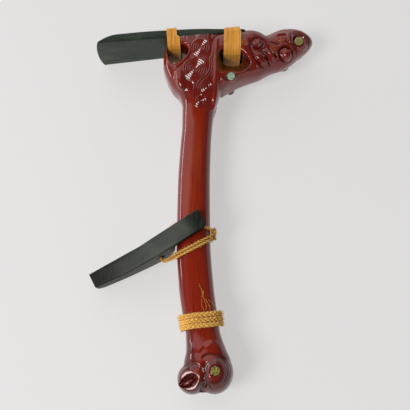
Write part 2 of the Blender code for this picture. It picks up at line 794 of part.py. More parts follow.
def tie_routes():
    """Two strands over the shaft, one behind it, and one under the stone's tongue."""
    away = TIE_CORD_DIAMETER / 2 + 2 * GAP
    pitch = TIE_CORD_DIAMETER + GAP
    face = 1 + (away + GAP) / stone_half(0.6)
    near = stone_point(HOLE_ALONG, -face, HOLE_HEIGHT)
    far = stone_point(HOLE_ALONG, face, HOLE_HEIGHT)
    routes = []
    for strand in (0, 1):
        lower = strand * pitch
        start = near + Vector((0, -0.3 * lower, 0.0016 - 0.5 * lower))
        route = [start, stone_point(HOLE_ALONG + 0.0075, -face - 0.1, HOLE_HEIGHT + 0.004) - Vector((0, lower, 0))]
        for turn in range(165, -20, -15):
            y = (-51.0 + 0.105 * (165 - turn)) * UNIT - lower
            route.append(round_shaft(y, turn, away))
        routes.append(smooth_route(route, CORD_STEP))
    behind = [round_shaft((-34.0 - 0.128 * (-10 - turn)) * UNIT, turn, away) for turn in range(-10, -176, -15)]
    behind += [stone_point(HOLE_ALONG + 0.006, -face - 0.25, HOLE_HEIGHT - 0.003), near - Vector((0, 0, 0.0022))]
    routes.append(smooth_route(behind, CORD_STEP))
    tongue = [round_shaft((-30.0 + 0.050 * (turn - 12)) * UNIT, turn, away) for turn in range(12, 170, 15)]
    tongue += [stone_point(HOLE_ALONG + 0.018, face, 0.0), stone_point(HOLE_ALONG + 0.007, face, HOLE_HEIGHT + 0.003)]
    tongue += [far]
    routes.append(smooth_route(tongue, CORD_STEP))
    return routes


def tie_cord(parent):
    strands = [cord(f"strand_{k}", route, TIE_CORD_DIAMETER) for k, route in enumerate(tie_routes())]
    strands = [to_mesh(strand) for strand in strands]
    bundle = new_object("tie_cord", [hole_cylinder(TIED_STONE_HOLE / 2 - GAP, 0.0026)], GOLDEN_CORD, parent)
    knot_y = -32.5 * UNIT
    knot = ellipsoid(round_shaft(knot_y, 2, 0.0029), (0.0023, 0.0050, 0.0046), 0, 2)
    combine(bundle, strands + [new_object("knot", [knot])], "UNION")
    return bundle


def to_mesh(obj):
    """The mesh of a curve object, put in place of the object itself."""
    mesh = bpy.data.meshes.new_from_object(obj.evaluated_get(bpy.context.evaluated_depsgraph_get()))
    name = obj.name
    bpy.data.objects.remove(obj, do_unlink=True)
    fresh = bpy.data.objects.new(name, mesh)
    bpy.context.scene.collection.objects.link(fresh)
    return fresh


def wrap_route():
    away = WRAP_CORD_DIAMETER / 2 + 2 * GAP
    pitch = WRAP_CORD_DIAMETER + GAP + 0.0002
    middle, slant = -117.0 * UNIT, 3.6 * UNIT
    points = []
    steps = 24 * WRAP_TURNS - 8
    for i in range(steps + 1):
        turns = i / 24 - 0.17
        angle = 180 - 360 * turns
        y = middle - pitch * (turns - 0.25) + slant * math.cos(math.radians(angle))
        points.append(round_shaft(y, angle, away))
    return points


# Assembly


def handle(parent):
    wood = new_object(
        "handle",
        [shaft_body(), heel_body(), *butt_lobes(), *foot_limbs(), *heel_figure()],
        LACQUERED_WOOD,
        parent,
    )
    remeshed(wood, 0.0013, 0)
    holes = [lashing_hole("front_hole", FRONT_SLOT, FRONT_MOUTH), lashing_hole("rear_hole", REAR_SLOT, REAR_MOUTH)]
    combine(wood, holes, "DIFFERENCE")
    mouth_cuts, tongues = mouths()
    for cut in [*creases(), *mouth_cuts]:
        combine(wood, [new_object("cut", [cut])], "DIFFERENCE")
    for tongue in tongues:
        combine(wood, [new_object("tongue", [tongue])], "UNION")
    remeshed(wood, 0.0013, 4)
    reduced(wood, WOOD_TRIANGLES)
    return wood


def finish_handle(wood):
    """Seats for the blade, the lashings and the discs, the flat spot, and the spiral ribs."""
    surface = surface_of(wood)
    ribs = []
    for side in (1, -1):
        for spiral in SPIRALS:
            ribs.append(new_object("rib", [spiral_rib(surface, side, *spiral)]))
    combine(wood, ribs, "UNION")
    lowest = -BUTT_DEPTH / 2
    shape = bmesh.new()
    bmesh.ops.create_cube(shape, size=0.08)
    bmesh.ops.translate(shape, verts=shape.verts, vec=(0, -172 * UNIT, lowest - 0.04))
    cutters = [seat_cutter(), new_object("flat_spot", [shape])]
    for lashing in (FRONT_LASHING, REAR_LASHING):
        cutters.append(new_object("bed", [lashing_band(**lashing, inner=0.0, outer=LASHING_THICKNESS + 0.004)]))
    combine(wood, cutters, "DIFFERENCE")
    return surface


def surface_of(obj):
    bpy.context.view_layer.update()
    return BVHTree.FromObject(obj, bpy.context.evaluated_depsgraph_get())


def build():
    root = bpy.data.objects.new("adze", None)
    bpy.context.scene.collection.objects.link(root)
    wood = handle(None)
    finish_handle(wood)
    surface = surface_of(wood)
    for name, x, y, radius, mat in DISCS:
        for side, where in ((1, "upper"), (-1, "lower")):
            bottom = disc_bottom(surface, x * UNIT, y * UNIT, radius, side)
            socket = cylinder(x * UNIT, y * UNIT, bottom, bottom + 0.02, radius + GAP, side)
            combine(wood, [new_object("socket", [socket])], "DIFFERENCE")
            shell_disc(f"{name}_{where}", x * UNIT, y * UNIT, bottom, radius, side, mat, root)
    wood.parent = root
    new_object("blade", [blade_shape()], GREEN_STONE, root)
    for name, lashing in (("front_lashing", FRONT_LASHING), ("rear_lashing", REAR_LASHING)):
        strands = round(lashing["width"] / 0.0038)
        band = lashing_band(**lashing, inner=GAP, outer=GAP + LASHING_THICKNESS, strands=strands)
        new_object(name, [band], GOLDEN_THREAD, root)
    stone = new_object("tied_stone", [stone_shape()], DARK_STONE, root)
    combine(stone, [new_object("bore", [hole_cylinder(TIED_STONE_HOLE / 2, 0.01)])], "DIFFERENCE")
    tie_cord(root)
    cord("wrap_cord", wrap_route(), WRAP_CORD_DIAMETER, GOLDEN_CORD, root)
    root.location = Vector((0, 0, MIDDLE_HEIGHT)) - BOX_MIDDLE


build()
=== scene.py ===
# Ceremonial adze: carved lacquered handle, green stone blade and tied dark stone, golden lashings and cords.
# Every piece is drawn in millimetres on the part's flat drawing, then set into the part's own frame.

import math

import bmesh
import bpy
import numpy as np
from mathutils import Matrix, Vector
from mathutils.bvhtree import BVHTree


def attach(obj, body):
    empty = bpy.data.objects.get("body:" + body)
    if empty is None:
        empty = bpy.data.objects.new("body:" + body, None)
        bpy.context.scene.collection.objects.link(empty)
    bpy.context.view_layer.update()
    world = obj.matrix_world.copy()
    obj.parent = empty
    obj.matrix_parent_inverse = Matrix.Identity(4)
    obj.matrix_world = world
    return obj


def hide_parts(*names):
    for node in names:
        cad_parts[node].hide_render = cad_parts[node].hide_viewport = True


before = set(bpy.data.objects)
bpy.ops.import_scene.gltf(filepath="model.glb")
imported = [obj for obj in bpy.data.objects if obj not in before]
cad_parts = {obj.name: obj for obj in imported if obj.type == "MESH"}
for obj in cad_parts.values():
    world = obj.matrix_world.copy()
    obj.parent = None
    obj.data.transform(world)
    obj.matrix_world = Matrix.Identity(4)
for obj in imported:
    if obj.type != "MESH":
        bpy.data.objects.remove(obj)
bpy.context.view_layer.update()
print("frame loaded:", len(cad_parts), "nodes")

drawing = {
    "middle": (0.35, 7.2, -26.0),  # the point of the drawing that lies at the part's origin
    "footDepth": 47.6,
    "buttDepth": 52.0,
    "gripDepth": 30.0,
    "gap": 0.3,
    "outside": 60.0,  # a level out over each broad side, where lines start before they drop onto it
}


# Mesh helpers


def linked(name, data):
    obj = bpy.data.objects.new(name, data)
    bpy.context.scene.collection.objects.link(obj)
    return obj


def pour(shapes, whole):
    # Adds each shape to the mesh in hand and lets go of it
    for shape in shapes:
        part = bpy.data.meshes.new("part")
        shape.to_mesh(part)
        shape.free()
        whole.from_mesh(part)
        bpy.data.meshes.remove(part)


def meshObject(name, shapes, mat=None):
    mesh = bpy.data.meshes.new(name)
    whole = bmesh.new()
    pour(shapes, whole)
    whole.to_mesh(mesh)
    whole.free()
    if mat:
        mesh.materials.append(mat)
    return linked(name, mesh)


def addShapes(obj, shapes):
    whole = bmesh.new()
    whole.from_mesh(obj.data)
    pour(shapes, whole)
    whole.to_mesh(obj.data)
    whole.free()


def keepShape(obj):
    evaluated = obj.evaluated_get(bpy.context.evaluated_depsgraph_get())
    mesh = bpy.data.meshes.new_from_object(evaluated)
    obj.modifiers.clear()
    obj.data = mesh


def cutOut(obj, name, shapes):
    tool = meshObject(name, shapes)
    change = obj.modifiers.new(name, "BOOLEAN")
    change.operation = "DIFFERENCE"
    change.solver = "EXACT"
    change.object = tool
    keepShape(obj)
    bpy.data.objects.remove(tool, do_unlink=True)


def voxelSkin(obj, voxel, smoothing=0):
    change = obj.modifiers.new("skin", "REMESH")
    change.mode = "VOXEL"
    change.voxel_size = voxel
    if smoothing:
        relax = obj.modifiers.new("relax", "SMOOTH")
        relax.factor = 0.5
        relax.iterations = smoothing
    keepShape(obj)


def closedSkin(rings):
    # A closed mesh through rings of equal point count, with a point at the middle of each end
    shape = bmesh.new()
    loops = [[shape.verts.new(point) for point in ring] for ring in rings]
    count = len(loops[0])
    for lower, upper in zip(loops, loops[1:]):
        for i in range(count):
            j = (i + 1) % count
            shape.faces.new((lower[i], lower[j], upper[j], upper[i]))
    for loop in (loops[0], loops[-1]):
        middle = shape.verts.new(sum((v.co for v in loop), Vector()) / count)
        for i in range(count):
            shape.faces.new((loop[i], loop[(i + 1) % count], middle))
    bmesh.ops.recalc_face_normals(shape, faces=shape.faces)
    return shape


def closedBand(rows):
    # A ring of rows that close on themselves both ways, like a bangle
    shape = bmesh.new()
    made = [[shape.verts.new(point) for point in row] for row in rows]
    count = len(made[0])
    for k, row in enumerate(made):
        after = made[(k + 1) % len(made)]
        for i in range(count):
            j = (i + 1) % count
            shape.faces.new((row[i], row[j], after[j], after[i]))
    bmesh.ops.remove_doubles(shape, verts=shape.verts, dist=0.001)
    bmesh.ops.recalc_face_normals(shape, faces=shape.faces)
    return shape


def shadeSmooth(obj, sharpAngle=None):
    mesh = obj.data
    mesh.polygons.foreach_set("use_smooth", [True] * len(mesh.polygons))
    if sharpAngle:
        mesh.set_sharp_from_angle(angle=math.radians(sharpAngle))
    mesh.update()


def settle(obj, slotName, *nodes):
    # From drawing millimetres into the part's frame, in metres
    place = Matrix.Diagonal((0.001, 0.001, 0.001, 1.0)) @ Matrix.Translation(-Vector(drawing["middle"]))
    obj.data.transform(place)
    obj.data.update()
    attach(obj, "root")
    if nodes:
        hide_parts(*nodes)
    print("piece done:", obj.name, len(obj.data.polygons), "faces")
    return obj


def valuesAt(stations, place):
    # Values at one place of a table of stations, on a curve that never overshoots them
    keys = [row[0] for row in stations]
    place = min(max(place, keys[0]), keys[-1])
    step = min(max(i for i, key in enumerate(keys) if key <= place), len(keys) - 2)

    def rise(i, column):
        return (stations[i + 1][column] - stations[i][column]) / (keys[i + 1] - keys[i])

    def slope(i, column):
        if i in (0, len(keys) - 1):
            return 0.0 if len(keys) == 2 else rise(min(i, len(keys) - 2), column)
        before, after = rise(i - 1, column), rise(i, column)
        return 0.0 if before * after <= 0 else 2 * before * after / (before + after)

    span = keys[step + 1] - keys[step]
    t = (place - keys[step]) / span
    values = []
    for column in range(1, len(stations[0])):
        start, end = stations[step][column], stations[step + 1][column]
        level = start * (1 + 2 * t) * (1 - t) ** 2 + end * t * t * (3 - 2 * t)
        level += span * t * (1 - t) * (slope(step, column) * (1 - t) - slope(step + 1, column) * t)
        values.append(level)
    return values


def roundedSpot(turn, halfA, halfB, squareness):
    c, s = math.cos(turn), math.sin(turn)
    a = math.copysign(abs(c) ** (2 / squareness), c) * halfA
    b = math.copysign(abs(s) ** (2 / squareness), s) * halfB
    return a, b


def roundedOutline(halfA, halfB, squareness, count):
    return [roundedSpot(2 * math.pi * i / count, halfA, halfB, squareness) for i in range(count)]


def smoothPath(points, perSpan=6, closed=False):
    # Points on a smooth curve through a few
    points = [Vector(p) for p in points]
    total = len(points)
    path = []
    for k in range(total if closed else total - 1):
        if closed:
            a, b, c, d = (points[(k + n) % total] for n in (-1, 0, 1, 2))
        else:
            a, b = points[max(k - 1, 0)], points[k]
            c, d = points[k + 1], points[min(k + 2, total - 1)]
        for i in range(perSpan):
            t = i / perSpan
            path.append(0.5 * (
                2 * b + (c - a) * t + (2 * a - 5 * b + 4 * c - d) * t * t + (3 * b - a - 3 * c + d) * t**3
            ))
    return path if closed else path + [points[-1]]


def ellipsoid(centre, radii, turn=0.0):
    shape = bmesh.new()
    bmesh.ops.create_icosphere(shape, subdivisions=4, radius=1.0)
    place = Matrix.Translation(centre) @ Matrix.Rotation(math.radians(turn), 4, "Z")
    bmesh.ops.transform(shape, matrix=place @ Matrix.Diagonal((*radii, 1.0)), verts=shape.verts)
    return shape


def cylinder(radius, length, sides, place):
    shape = bmesh.new()
    bmesh.ops.create_cone(shape, cap_ends=True, segments=sides, radius1=radius, radius2=radius, depth=length)
    bmesh.ops.transform(shape, matrix=place, verts=shape.verts)
    return shape


def block(low, high, place=Matrix.Identity(4)):
    shape = bmesh.new()
    bmesh.ops.create_cube(shape, size=1.0)
    low, high = Vector(low), Vector(high)
    grow = Matrix.Translation((low + high) / 2) @ Matrix.Diagonal((*(high - low), 1.0))
    bmesh.ops.transform(shape, matrix=place @ grow, verts=shape.verts)
    return shape


def limb(points):
    # A round-ended limb along a smooth path; the fourth value of each point is its radius
    path = smoothPath(points, 4)
    spots = [Vector(p[:3]) for p in path]
    widths = [p[3] for p in path]
    sides = [2 * math.pi * k / 16 for k in range(16)]
    roundEnd = ((0.0, 1.0), (0.3, 0.95), (0.7, 0.71), (0.96, 0.28))
    rings = []
    last = len(spots) - 1
    for i, point in enumerate(spots):
        along = (spots[min(i + 1, last)] - spots[max(i - 1, 0)]).normalized()
        side = along.cross(Vector((0, 0, 1))).normalized()
        up = side.cross(along)
        steps = roundEnd if i == last else roundEnd[:1]
        if i == 0:
            steps = [(-shift, share) for shift, share in reversed(roundEnd)]
        for shift, share in steps:
            middle = point + along * shift * widths[i]
            reach = widths[i] * share
            rings.append([middle + side * math.cos(t) * reach + up * math.sin(t) * reach for t in sides])
    return closedSkin(rings)


# Geometry node helpers


def newTree(name, inputs):
    tree = bpy.data.node_groups.new(name, "GeometryNodeTree")
    tree.interface.new_socket("Geometry", in_out="INPUT", socket_type="NodeSocketGeometry")
    for label, kind, value in inputs:
        socket = tree.interface.new_socket(label, in_out="INPUT", socket_type="NodeSocket" + kind)
        if value is not None:
            socket.default_value = value
    tree.interface.new_socket("Geometry", in_out="OUTPUT", socket_type="NodeSocketGeometry")
    return tree, tree.nodes.new("NodeGroupInput")


def addNode(tree, kind, feeds=(), **settings):
    # feeds are pairs of an input's name or number and an output socket or a plain value
    node = tree.nodes.new(kind)
    for key, value in settings.items():
        setattr(node, key, value)
    for socket, value in feeds:
        if isinstance(value, bpy.types.NodeSocket):
            tree.links.new(value, node.inputs[socket])
        else:
            node.inputs[socket].default_value = value
    return node


def calc(tree, operation, *values):
    return addNode(tree, "ShaderNodeMath", list(enumerate(values)), operation=operation).outputs[0]


def product(tree, first, *others):
    for other in others:
        first = calc(tree, "MULTIPLY", first, other)
    return first


def total(tree, first, *others):
    for other in others:
        first = calc(tree, "ADD", first, other)
    return first


def minus(tree, first, second):
    return calc(tree, "SUBTRACT", first, second)


def vectorCalc(tree, operation, *values):
    feeds = list(enumerate(values))
    if operation == "SCALE":
        feeds = [(0, values[0]), ("Scale", values[1])]
    node = addNode(tree, "ShaderNodeVectorMath", feeds, operation=operation)
    return node.outputs["Value" if operation in ("LENGTH", "DISTANCE", "DOT_PRODUCT") else "Vector"]


def vectorOf(tree, x=0.0, y=0.0, z=0.0):
    return addNode(tree, "ShaderNodeCombineXYZ", list(enumerate((x, y, z)))).outputs[0]


def partsOf(tree, vector):
    return addNode(tree, "ShaderNodeSeparateXYZ", [(0, vector)]).outputs


def field(tree, kind):
    return addNode(tree, "GeometryNodeInput" + kind).outputs[0]


def evenCurve(tree, lines, step):
    curve = addNode(tree, "GeometryNodeMeshToCurve", [("Mesh", lines)]).outputs[0]
    feeds = [("Curve", curve), ("Length", step)]
    return addNode(tree, "GeometryNodeResampleCurve", feeds, mode="LENGTH").outputs[0]


def copiesOf(tree, curve, amount):
    # Copies of each curve, and the number of each copy
    feeds = [("Geometry", curve), ("Amount", amount)]
    many = addNode(tree, "GeometryNodeDuplicateElements", feeds, domain="SPLINE")
    return many.outputs[0], many.outputs["Duplicate Index"]


def lengthAlong(tree):
    return addNode(tree, "GeometryNodeSplineParameter").outputs["Length"]


def shifted(tree, geometry, offset):
    return addNode(tree, "GeometryNodeSetPosition", [("Geometry", geometry), ("Offset", offset)]).outputs[0]


def stray(tree, place, reach):
    # A small drift of each point, drawn from noise at its place
    cloud = addNode(tree, "ShaderNodeTexNoise", [("Vector", place), ("Scale", 1.0), ("Detail", 1.0)])
    drift = vectorCalc(tree, "SUBTRACT", cloud.outputs["Color"], (0.5, 0.5, 0.5))
    return vectorCalc(tree, "SCALE", drift, reach)


def keepValue(tree, geometry, name, value, kind="FLOAT"):
    feeds = [("Geometry", geometry), ("Name", name), ("Value", value)]
    return addNode(tree, "GeometryNodeStoreNamedAttribute", feeds, data_type=kind, domain="POINT").outputs[0]


def keptValue(tree, name):
    return addNode(tree, "GeometryNodeInputNamedAttribute", [("Name", name)], data_type="FLOAT").outputs[0]


def roundTube(tree, curve, radius, caps):
    ring = addNode(tree, "GeometryNodeCurvePrimitiveCircle", [("Resolution", 6), ("Radius", radius)])
    feeds = [("Curve", curve), ("Profile Curve", ring.outputs[0]), ("Fill Caps", caps)]
    return addNode(tree, "GeometryNodeCurveToMesh", feeds).outputs[0]


def laidOn(tree, points, surface):
    # Points out over a broad side drop straight onto it, towards the middle plane
    ground = addNode(tree, "GeometryNodeObjectInfo", [("Object", surface)]).outputs["Geometry"]
    spot = field(tree, "Position")
    down = product(tree, calc(tree, "SIGN", partsOf(tree, spot)[2]), -1.0)
    feeds = [
        ("Target Geometry", ground), ("Source Position", spot),
        ("Ray Direction", vectorOf(tree, z=down)), ("Ray Length", 200.0),
    ]
    hit = addNode(tree, "GeometryNodeRaycast", feeds).outputs
    feeds = [("Geometry", points), ("Selection", hit["Is Hit"]), ("Position", hit["Hit Position"])]
    return addNode(tree, "GeometryNodeSetPosition", feeds).outputs[0]


def finishTree(tree, geometry, material):
    real = addNode(tree, "GeometryNodeRealizeInstances", [("Geometry", geometry)])
    smooth = addNode(tree, "GeometryNodeSetShadeSmooth", [("Geometry", real.outputs[0])])
    feeds = [("Geometry", smooth.outputs[0]), ("Material", material)]
    coloured = addNode(tree, "GeometryNodeSetMaterial", feeds)
    addNode(tree, "NodeGroupOutput", [(0, coloured.outputs[0])])


def runTree(obj, tree, **values):
    change = obj.modifiers.new(tree.name, "NODES")
    change.node_group = tree
    for item in tree.interface.items_tree:
        key = item.name[0].lower() + item.name[1:].replace(" ", "")
        if item.in_out == "INPUT" and key in values:
            change[item.identifier] = values[key]
    keepShape(obj)
    return obj


def guideLines(name, lines, closed=False):
    # Loose edges along each line of points, with a size for each point where the line gives one
    mesh = bpy.data.meshes.new(name)
    points, edges, sizes = [], [], []
    for line in lines:
        start = len(points)
        points += [tuple(p[:3]) for p in line]
        sizes += [p[3] if len(p) > 3 else 1.0 for p in line]
        edges += [(start + i, start + i + 1) for i in range(len(line) - 1)]
        if closed:
            edges.append((len(points) - 1, start))
    mesh.from_pydata(points, edges, [])
    mesh.attributes.new("size", "FLOAT", "POINT").data.foreach_set("value", sizes)
    return linked(name, mesh)


# Material helpers


def newMaterial(name, fixed):
    mat = bpy.data.materials.new(name)
    mat.use_nodes = True
    shader = mat.node_tree.nodes["Principled BSDF"]
    for label, value in fixed.items():
        shader.inputs[label].default_value = value
    return mat, mat.node_tree, shader


def textureSpace(tree, stretch=(1, 1, 1), turn=0.0, attribute=None):
    if attribute:
        source = addNode(tree, "ShaderNodeAttribute", attribute_name=attribute).outputs["Vector"]
    else:
        source = tree.nodes.new("ShaderNodeTexCoord").outputs["Object"]
    feeds = [("Vector", source), ("Scale", stretch), ("Rotation", (0, 0, math.radians(turn)))]
    return addNode(tree, "ShaderNodeMapping", feeds).outputs[0]


def noise(tree, space, scale, detail=3.0, roughness=0.5, distortion=0.0):
    feeds = [("Vector", space), ("Scale", scale), ("Detail", detail), ("Roughness", roughness)]
    feeds.append(("Distortion", distortion))
    return addNode(tree, "ShaderNodeTexNoise", feeds).outputs[0]


def ramp(tree, value, *stops):
    node = addNode(tree, "ShaderNodeValToRGB", [("Fac", value)])
    marks = node.color_ramp.elements
    while len(marks) < len(stops):
        marks.new(0.5)
    for mark, (place, colour) in zip(marks, stops):
        mark.position = place
        mark.color = (*colour, 1.0) if len(colour) == 3 else colour
    return node.outputs["Color"]


def mixed(tree, share, first, second, blend="MIX"):
    node = addNode(tree, "ShaderNodeMix", data_type="RGBA", blend_type=blend)
    for socket, value in ((0, share), (6, first), (7, second)):
        if isinstance(value, bpy.types.NodeSocket):
            tree.links.new(value, node.inputs[socket])
        else:
            node.inputs[socket].default_value = value if socket == 0 else (*value, 1.0)
    return node.outputs[2]


def spread(tree, value, low, high, fromLow=0.0, fromHigh=1.0):
    feeds = [("Value", value), ("From Min", fromLow), ("From Max", fromHigh)]
    feeds += [("To Min", low), ("To Max", high)]
    return addNode(tree, "ShaderNodeMapRange", feeds).outputs[0]


def bump(tree, height, strength, distance, below=None):
    feeds = [("Height", height), ("Strength", strength), ("Distance", distance)]
    if below:
        feeds.append(("Normal", below))
    return addNode(tree, "ShaderNodeBump", feeds).outputs[0]


def wire(tree, shader, sources):
    for label, source in sources.items():
        tree.links.new(source, shader.inputs[label])


def attributeFactor(tree, name):
    return addNode(tree, "ShaderNodeAttribute", attribute_name=name).outputs["Fac"]


# Finishes

# Wood colours. Dark, the lit-flat colour and the bead glint colour are painted light: dark for shaded sides,
# the lit-flat colour for lit flat tops, the glint colour for the beads' highlights. Deep serves both the
# grain and the painted shade of grooves and holes.
woodLook = {
    "deep": (0.040, 0.0030, 0.0025),
    "dark": (0.085, 0.0055, 0.0033),
    "body": (0.180, 0.0112, 0.0056),
    "glow": (0.270, 0.0185, 0.0046),
    "worn": (0.560, 0.2100, 0.0550),
    "grain": 540.0,
}


def lacqueredWood():
    mat, tree, shader = newMaterial("lacquered wood", {
        "Specular IOR Level": 0.05, "Coat Weight": 1.0, "Coat Roughness": 0.05, "Coat IOR": 1.5,
    })
    drift = noise(tree, textureSpace(tree, (1.0, 0.35, 1.0)), 22.0, 2.0)
    grain = noise(tree, textureSpace(tree, (1.0, 0.06, 1.0)), woodLook["grain"], 4.0, 0.6, 0.4)
    pores = noise(tree, textureSpace(tree, (1.0, 0.10, 1.0)), 1500.0, 3.0, 0.6)
    soft = noise(tree, textureSpace(tree), 180.0, 2.0)
    # The tone set on the mesh is painted light: it picks brighter stops on lit flat tops and the dark stop on
    # shaded sides. The drift is the wood's own uneven tone.
    tone = total(tree, attributeFactor(tree, "warm"), product(tree, minus(tree, drift, 0.5), 0.8))
    stops = zip((0.0, 0.19, 0.5, 0.85), (woodLook[key] for key in ("dark", "body", "glow", "worn")))
    ground = ramp(tree, product(tree, tone, 0.5), *stops)
    figure = mixed(tree, spread(tree, grain, 0.0, 0.30, 0.45, 0.70), ground, woodLook["deep"])
    # Painted shade in grooves and holes, towards the deep colour that the grain also uses
    shadow = product(tree, attributeFactor(tree, "hollow"), 0.7)
    wire(tree, shader, {
        "Base Color": mixed(tree, shadow, figure, woodLook["deep"]),
        "Roughness": spread(tree, pores, 0.28, 0.42),
        "Normal": bump(tree, pores, 0.08, 0.0002, bump(tree, soft, 0.04, 0.0008)),
        "Coat Normal": bump(tree, soft, 0.04, 0.0008),
    })
    return mat


def greenStone():
    mat, tree, shader = newMaterial("green stone", {
        "Specular IOR Level": 0.22, "Coat Weight": 0.10, "Coat Roughness": 0.12,
    })
    cloud = noise(tree, textureSpace(tree, (0.5, 1.0, 1.0)), 55.0, 5.0, 0.6, 0.6)
    streak = noise(tree, textureSpace(tree, (0.10, 1.0, 1.0)), 520.0, 4.0, 0.6)
    fleck = noise(tree, textureSpace(tree), 900.0, 3.0, 0.7)
    stops = (0.34, (0.008, 0.016, 0.010)), (0.52, (0.018, 0.031, 0.018)), (0.70, (0.040, 0.068, 0.034))
    ground = ramp(tree, cloud, *stops)
    lined = mixed(tree, spread(tree, streak, 0.0, 0.45, 0.45, 0.75), ground, (0.050, 0.060, 0.044))
    wire(tree, shader, {
        "Base Color": mixed(tree, spread(tree, fleck, 0.0, 0.7, 0.60, 0.78), lined, (0.12, 0.20, 0.11)),
        "Roughness": spread(tree, streak, 0.22, 0.42),
        "Normal": bump(tree, streak, 0.12, 0.0002, bump(tree, cloud, 0.15, 0.0012)),
    })
    return mat


def darkStone():
    mat, tree, shader = newMaterial("dark stone", {
        "Specular IOR Level": 0.14, "Coat Weight": 0.03, "Coat Roughness": 0.2,
    })
    lengthwise = -28.0
    brushed = noise(tree, textureSpace(tree, (1.0, 0.05, 0.6), lengthwise), 900.0, 3.0, 0.6)
    cloud = noise(tree, textureSpace(tree, turn=lengthwise), 40.0, 4.0, 0.55, 0.4)
    # Painted sheen: a broad reflection, paler towards the shaft and dark again at the two ends
    along = spread(tree, partsOf(tree, textureSpace(tree, turn=lengthwise))[0], 0.0, 1.0, -0.150, -0.020)
    marks = (0.0, 0.22), (0.30, 0.50), (0.72, 1.55), (0.88, 1.30), (0.98, 0.35)
    pale = ramp(tree, along, *((place, (level,) * 3) for place, level in marks))
    stops = (0.3, (0.016, 0.020, 0.015)), (0.55, (0.033, 0.037, 0.028)), (0.75, (0.054, 0.057, 0.041))
    ground = mixed(tree, 1.0, ramp(tree, cloud, *stops), pale, "MULTIPLY")
    wire(tree, shader, {
        "Base Color": mixed(tree, spread(tree, brushed, 0.0, 0.25, 0.45, 0.7), ground, (0.080, 0.080, 0.066)),
        "Roughness": spread(tree, brushed, 0.36, 0.54),
        "Normal": bump(tree, brushed, 0.10, 0.0002, bump(tree, cloud, 0.12, 0.0015)),
    })
    return mat


def goldenFibre(name, low, high, shine, grainSize):
    # thread.x counts the strand and thread.y runs along it
    mat, tree, shader = newMaterial(name, {
        "Sheen Weight": 0.12, "Sheen Roughness": 0.4, "Specular IOR Level": shine,
    })
    fibre = noise(tree, textureSpace(tree), grainSize, 3.0, 0.65)
    patch = noise(tree, textureSpace(tree), 90.0, 3.0, 0.6)
    strand = noise(tree, textureSpace(tree, (7.3, 0.012, 1.0), 0.0, "thread"), 1.0, 1.0)
    base = ramp(tree, fibre, (0.30, low), (0.66, high))
    shade, sun = tuple(v * 0.55 for v in low), tuple(min(v * 1.2, 1.0) for v in high)
    aged = mixed(tree, spread(tree, patch, 0.0, 0.25, 0.45, 0.75), base, shade)
    wire(tree, shader, {
        "Base Color": mixed(tree, spread(tree, strand, 0.0, 0.55, 0.40, 0.60), aged, sun),
        "Roughness": spread(tree, fibre, 0.38, 0.62),
        "Normal": bump(tree, fibre, 0.5, 0.0002),
    })
    return mat


def shell(name, dark, pale, bright):
    mat, tree, shader = newMaterial(name, {"Roughness": 0.22, "Coat Weight": 0.6, "Coat Roughness": 0.06})
    swirl = noise(tree, textureSpace(tree), 330.0, 3.0, 0.55, 1.6)
    fine = noise(tree, textureSpace(tree), 1400.0, 3.0, 0.6)
    base = ramp(tree, swirl, (0.30, dark), (0.48, pale), (0.68, bright))
    wire(tree, shader, {
        "Base Color": mixed(tree, spread(tree, fine, 0.0, 0.3, 0.5, 0.8), base, dark),
        "Normal": bump(tree, swirl, 0.15, 0.0004),
    })
    return mat


wood = lacqueredWood()
bladeStone = greenStone()
wedgeStone = darkStone()
threadGold = goldenFibre("golden thread", (0.50, 0.175, 0.016), (0.92, 0.44, 0.060), 0.4, 1900.0)
cordGold = goldenFibre("golden cord", (0.45, 0.19, 0.025), (0.95, 0.55, 0.13), 0.3, 1500.0)
oliveShell = shell("olive shell", (0.05, 0.05, 0.012), (0.21, 0.17, 0.035), (0.46, 0.40, 0.13))
mintShell = shell("mint shell", (0.09, 0.20, 0.11), (0.27, 0.42, 0.26), (0.66, 0.74, 0.56))
print("finishes made")


# Handle: the free form of the CAD handle, drawn finer and carved deeper

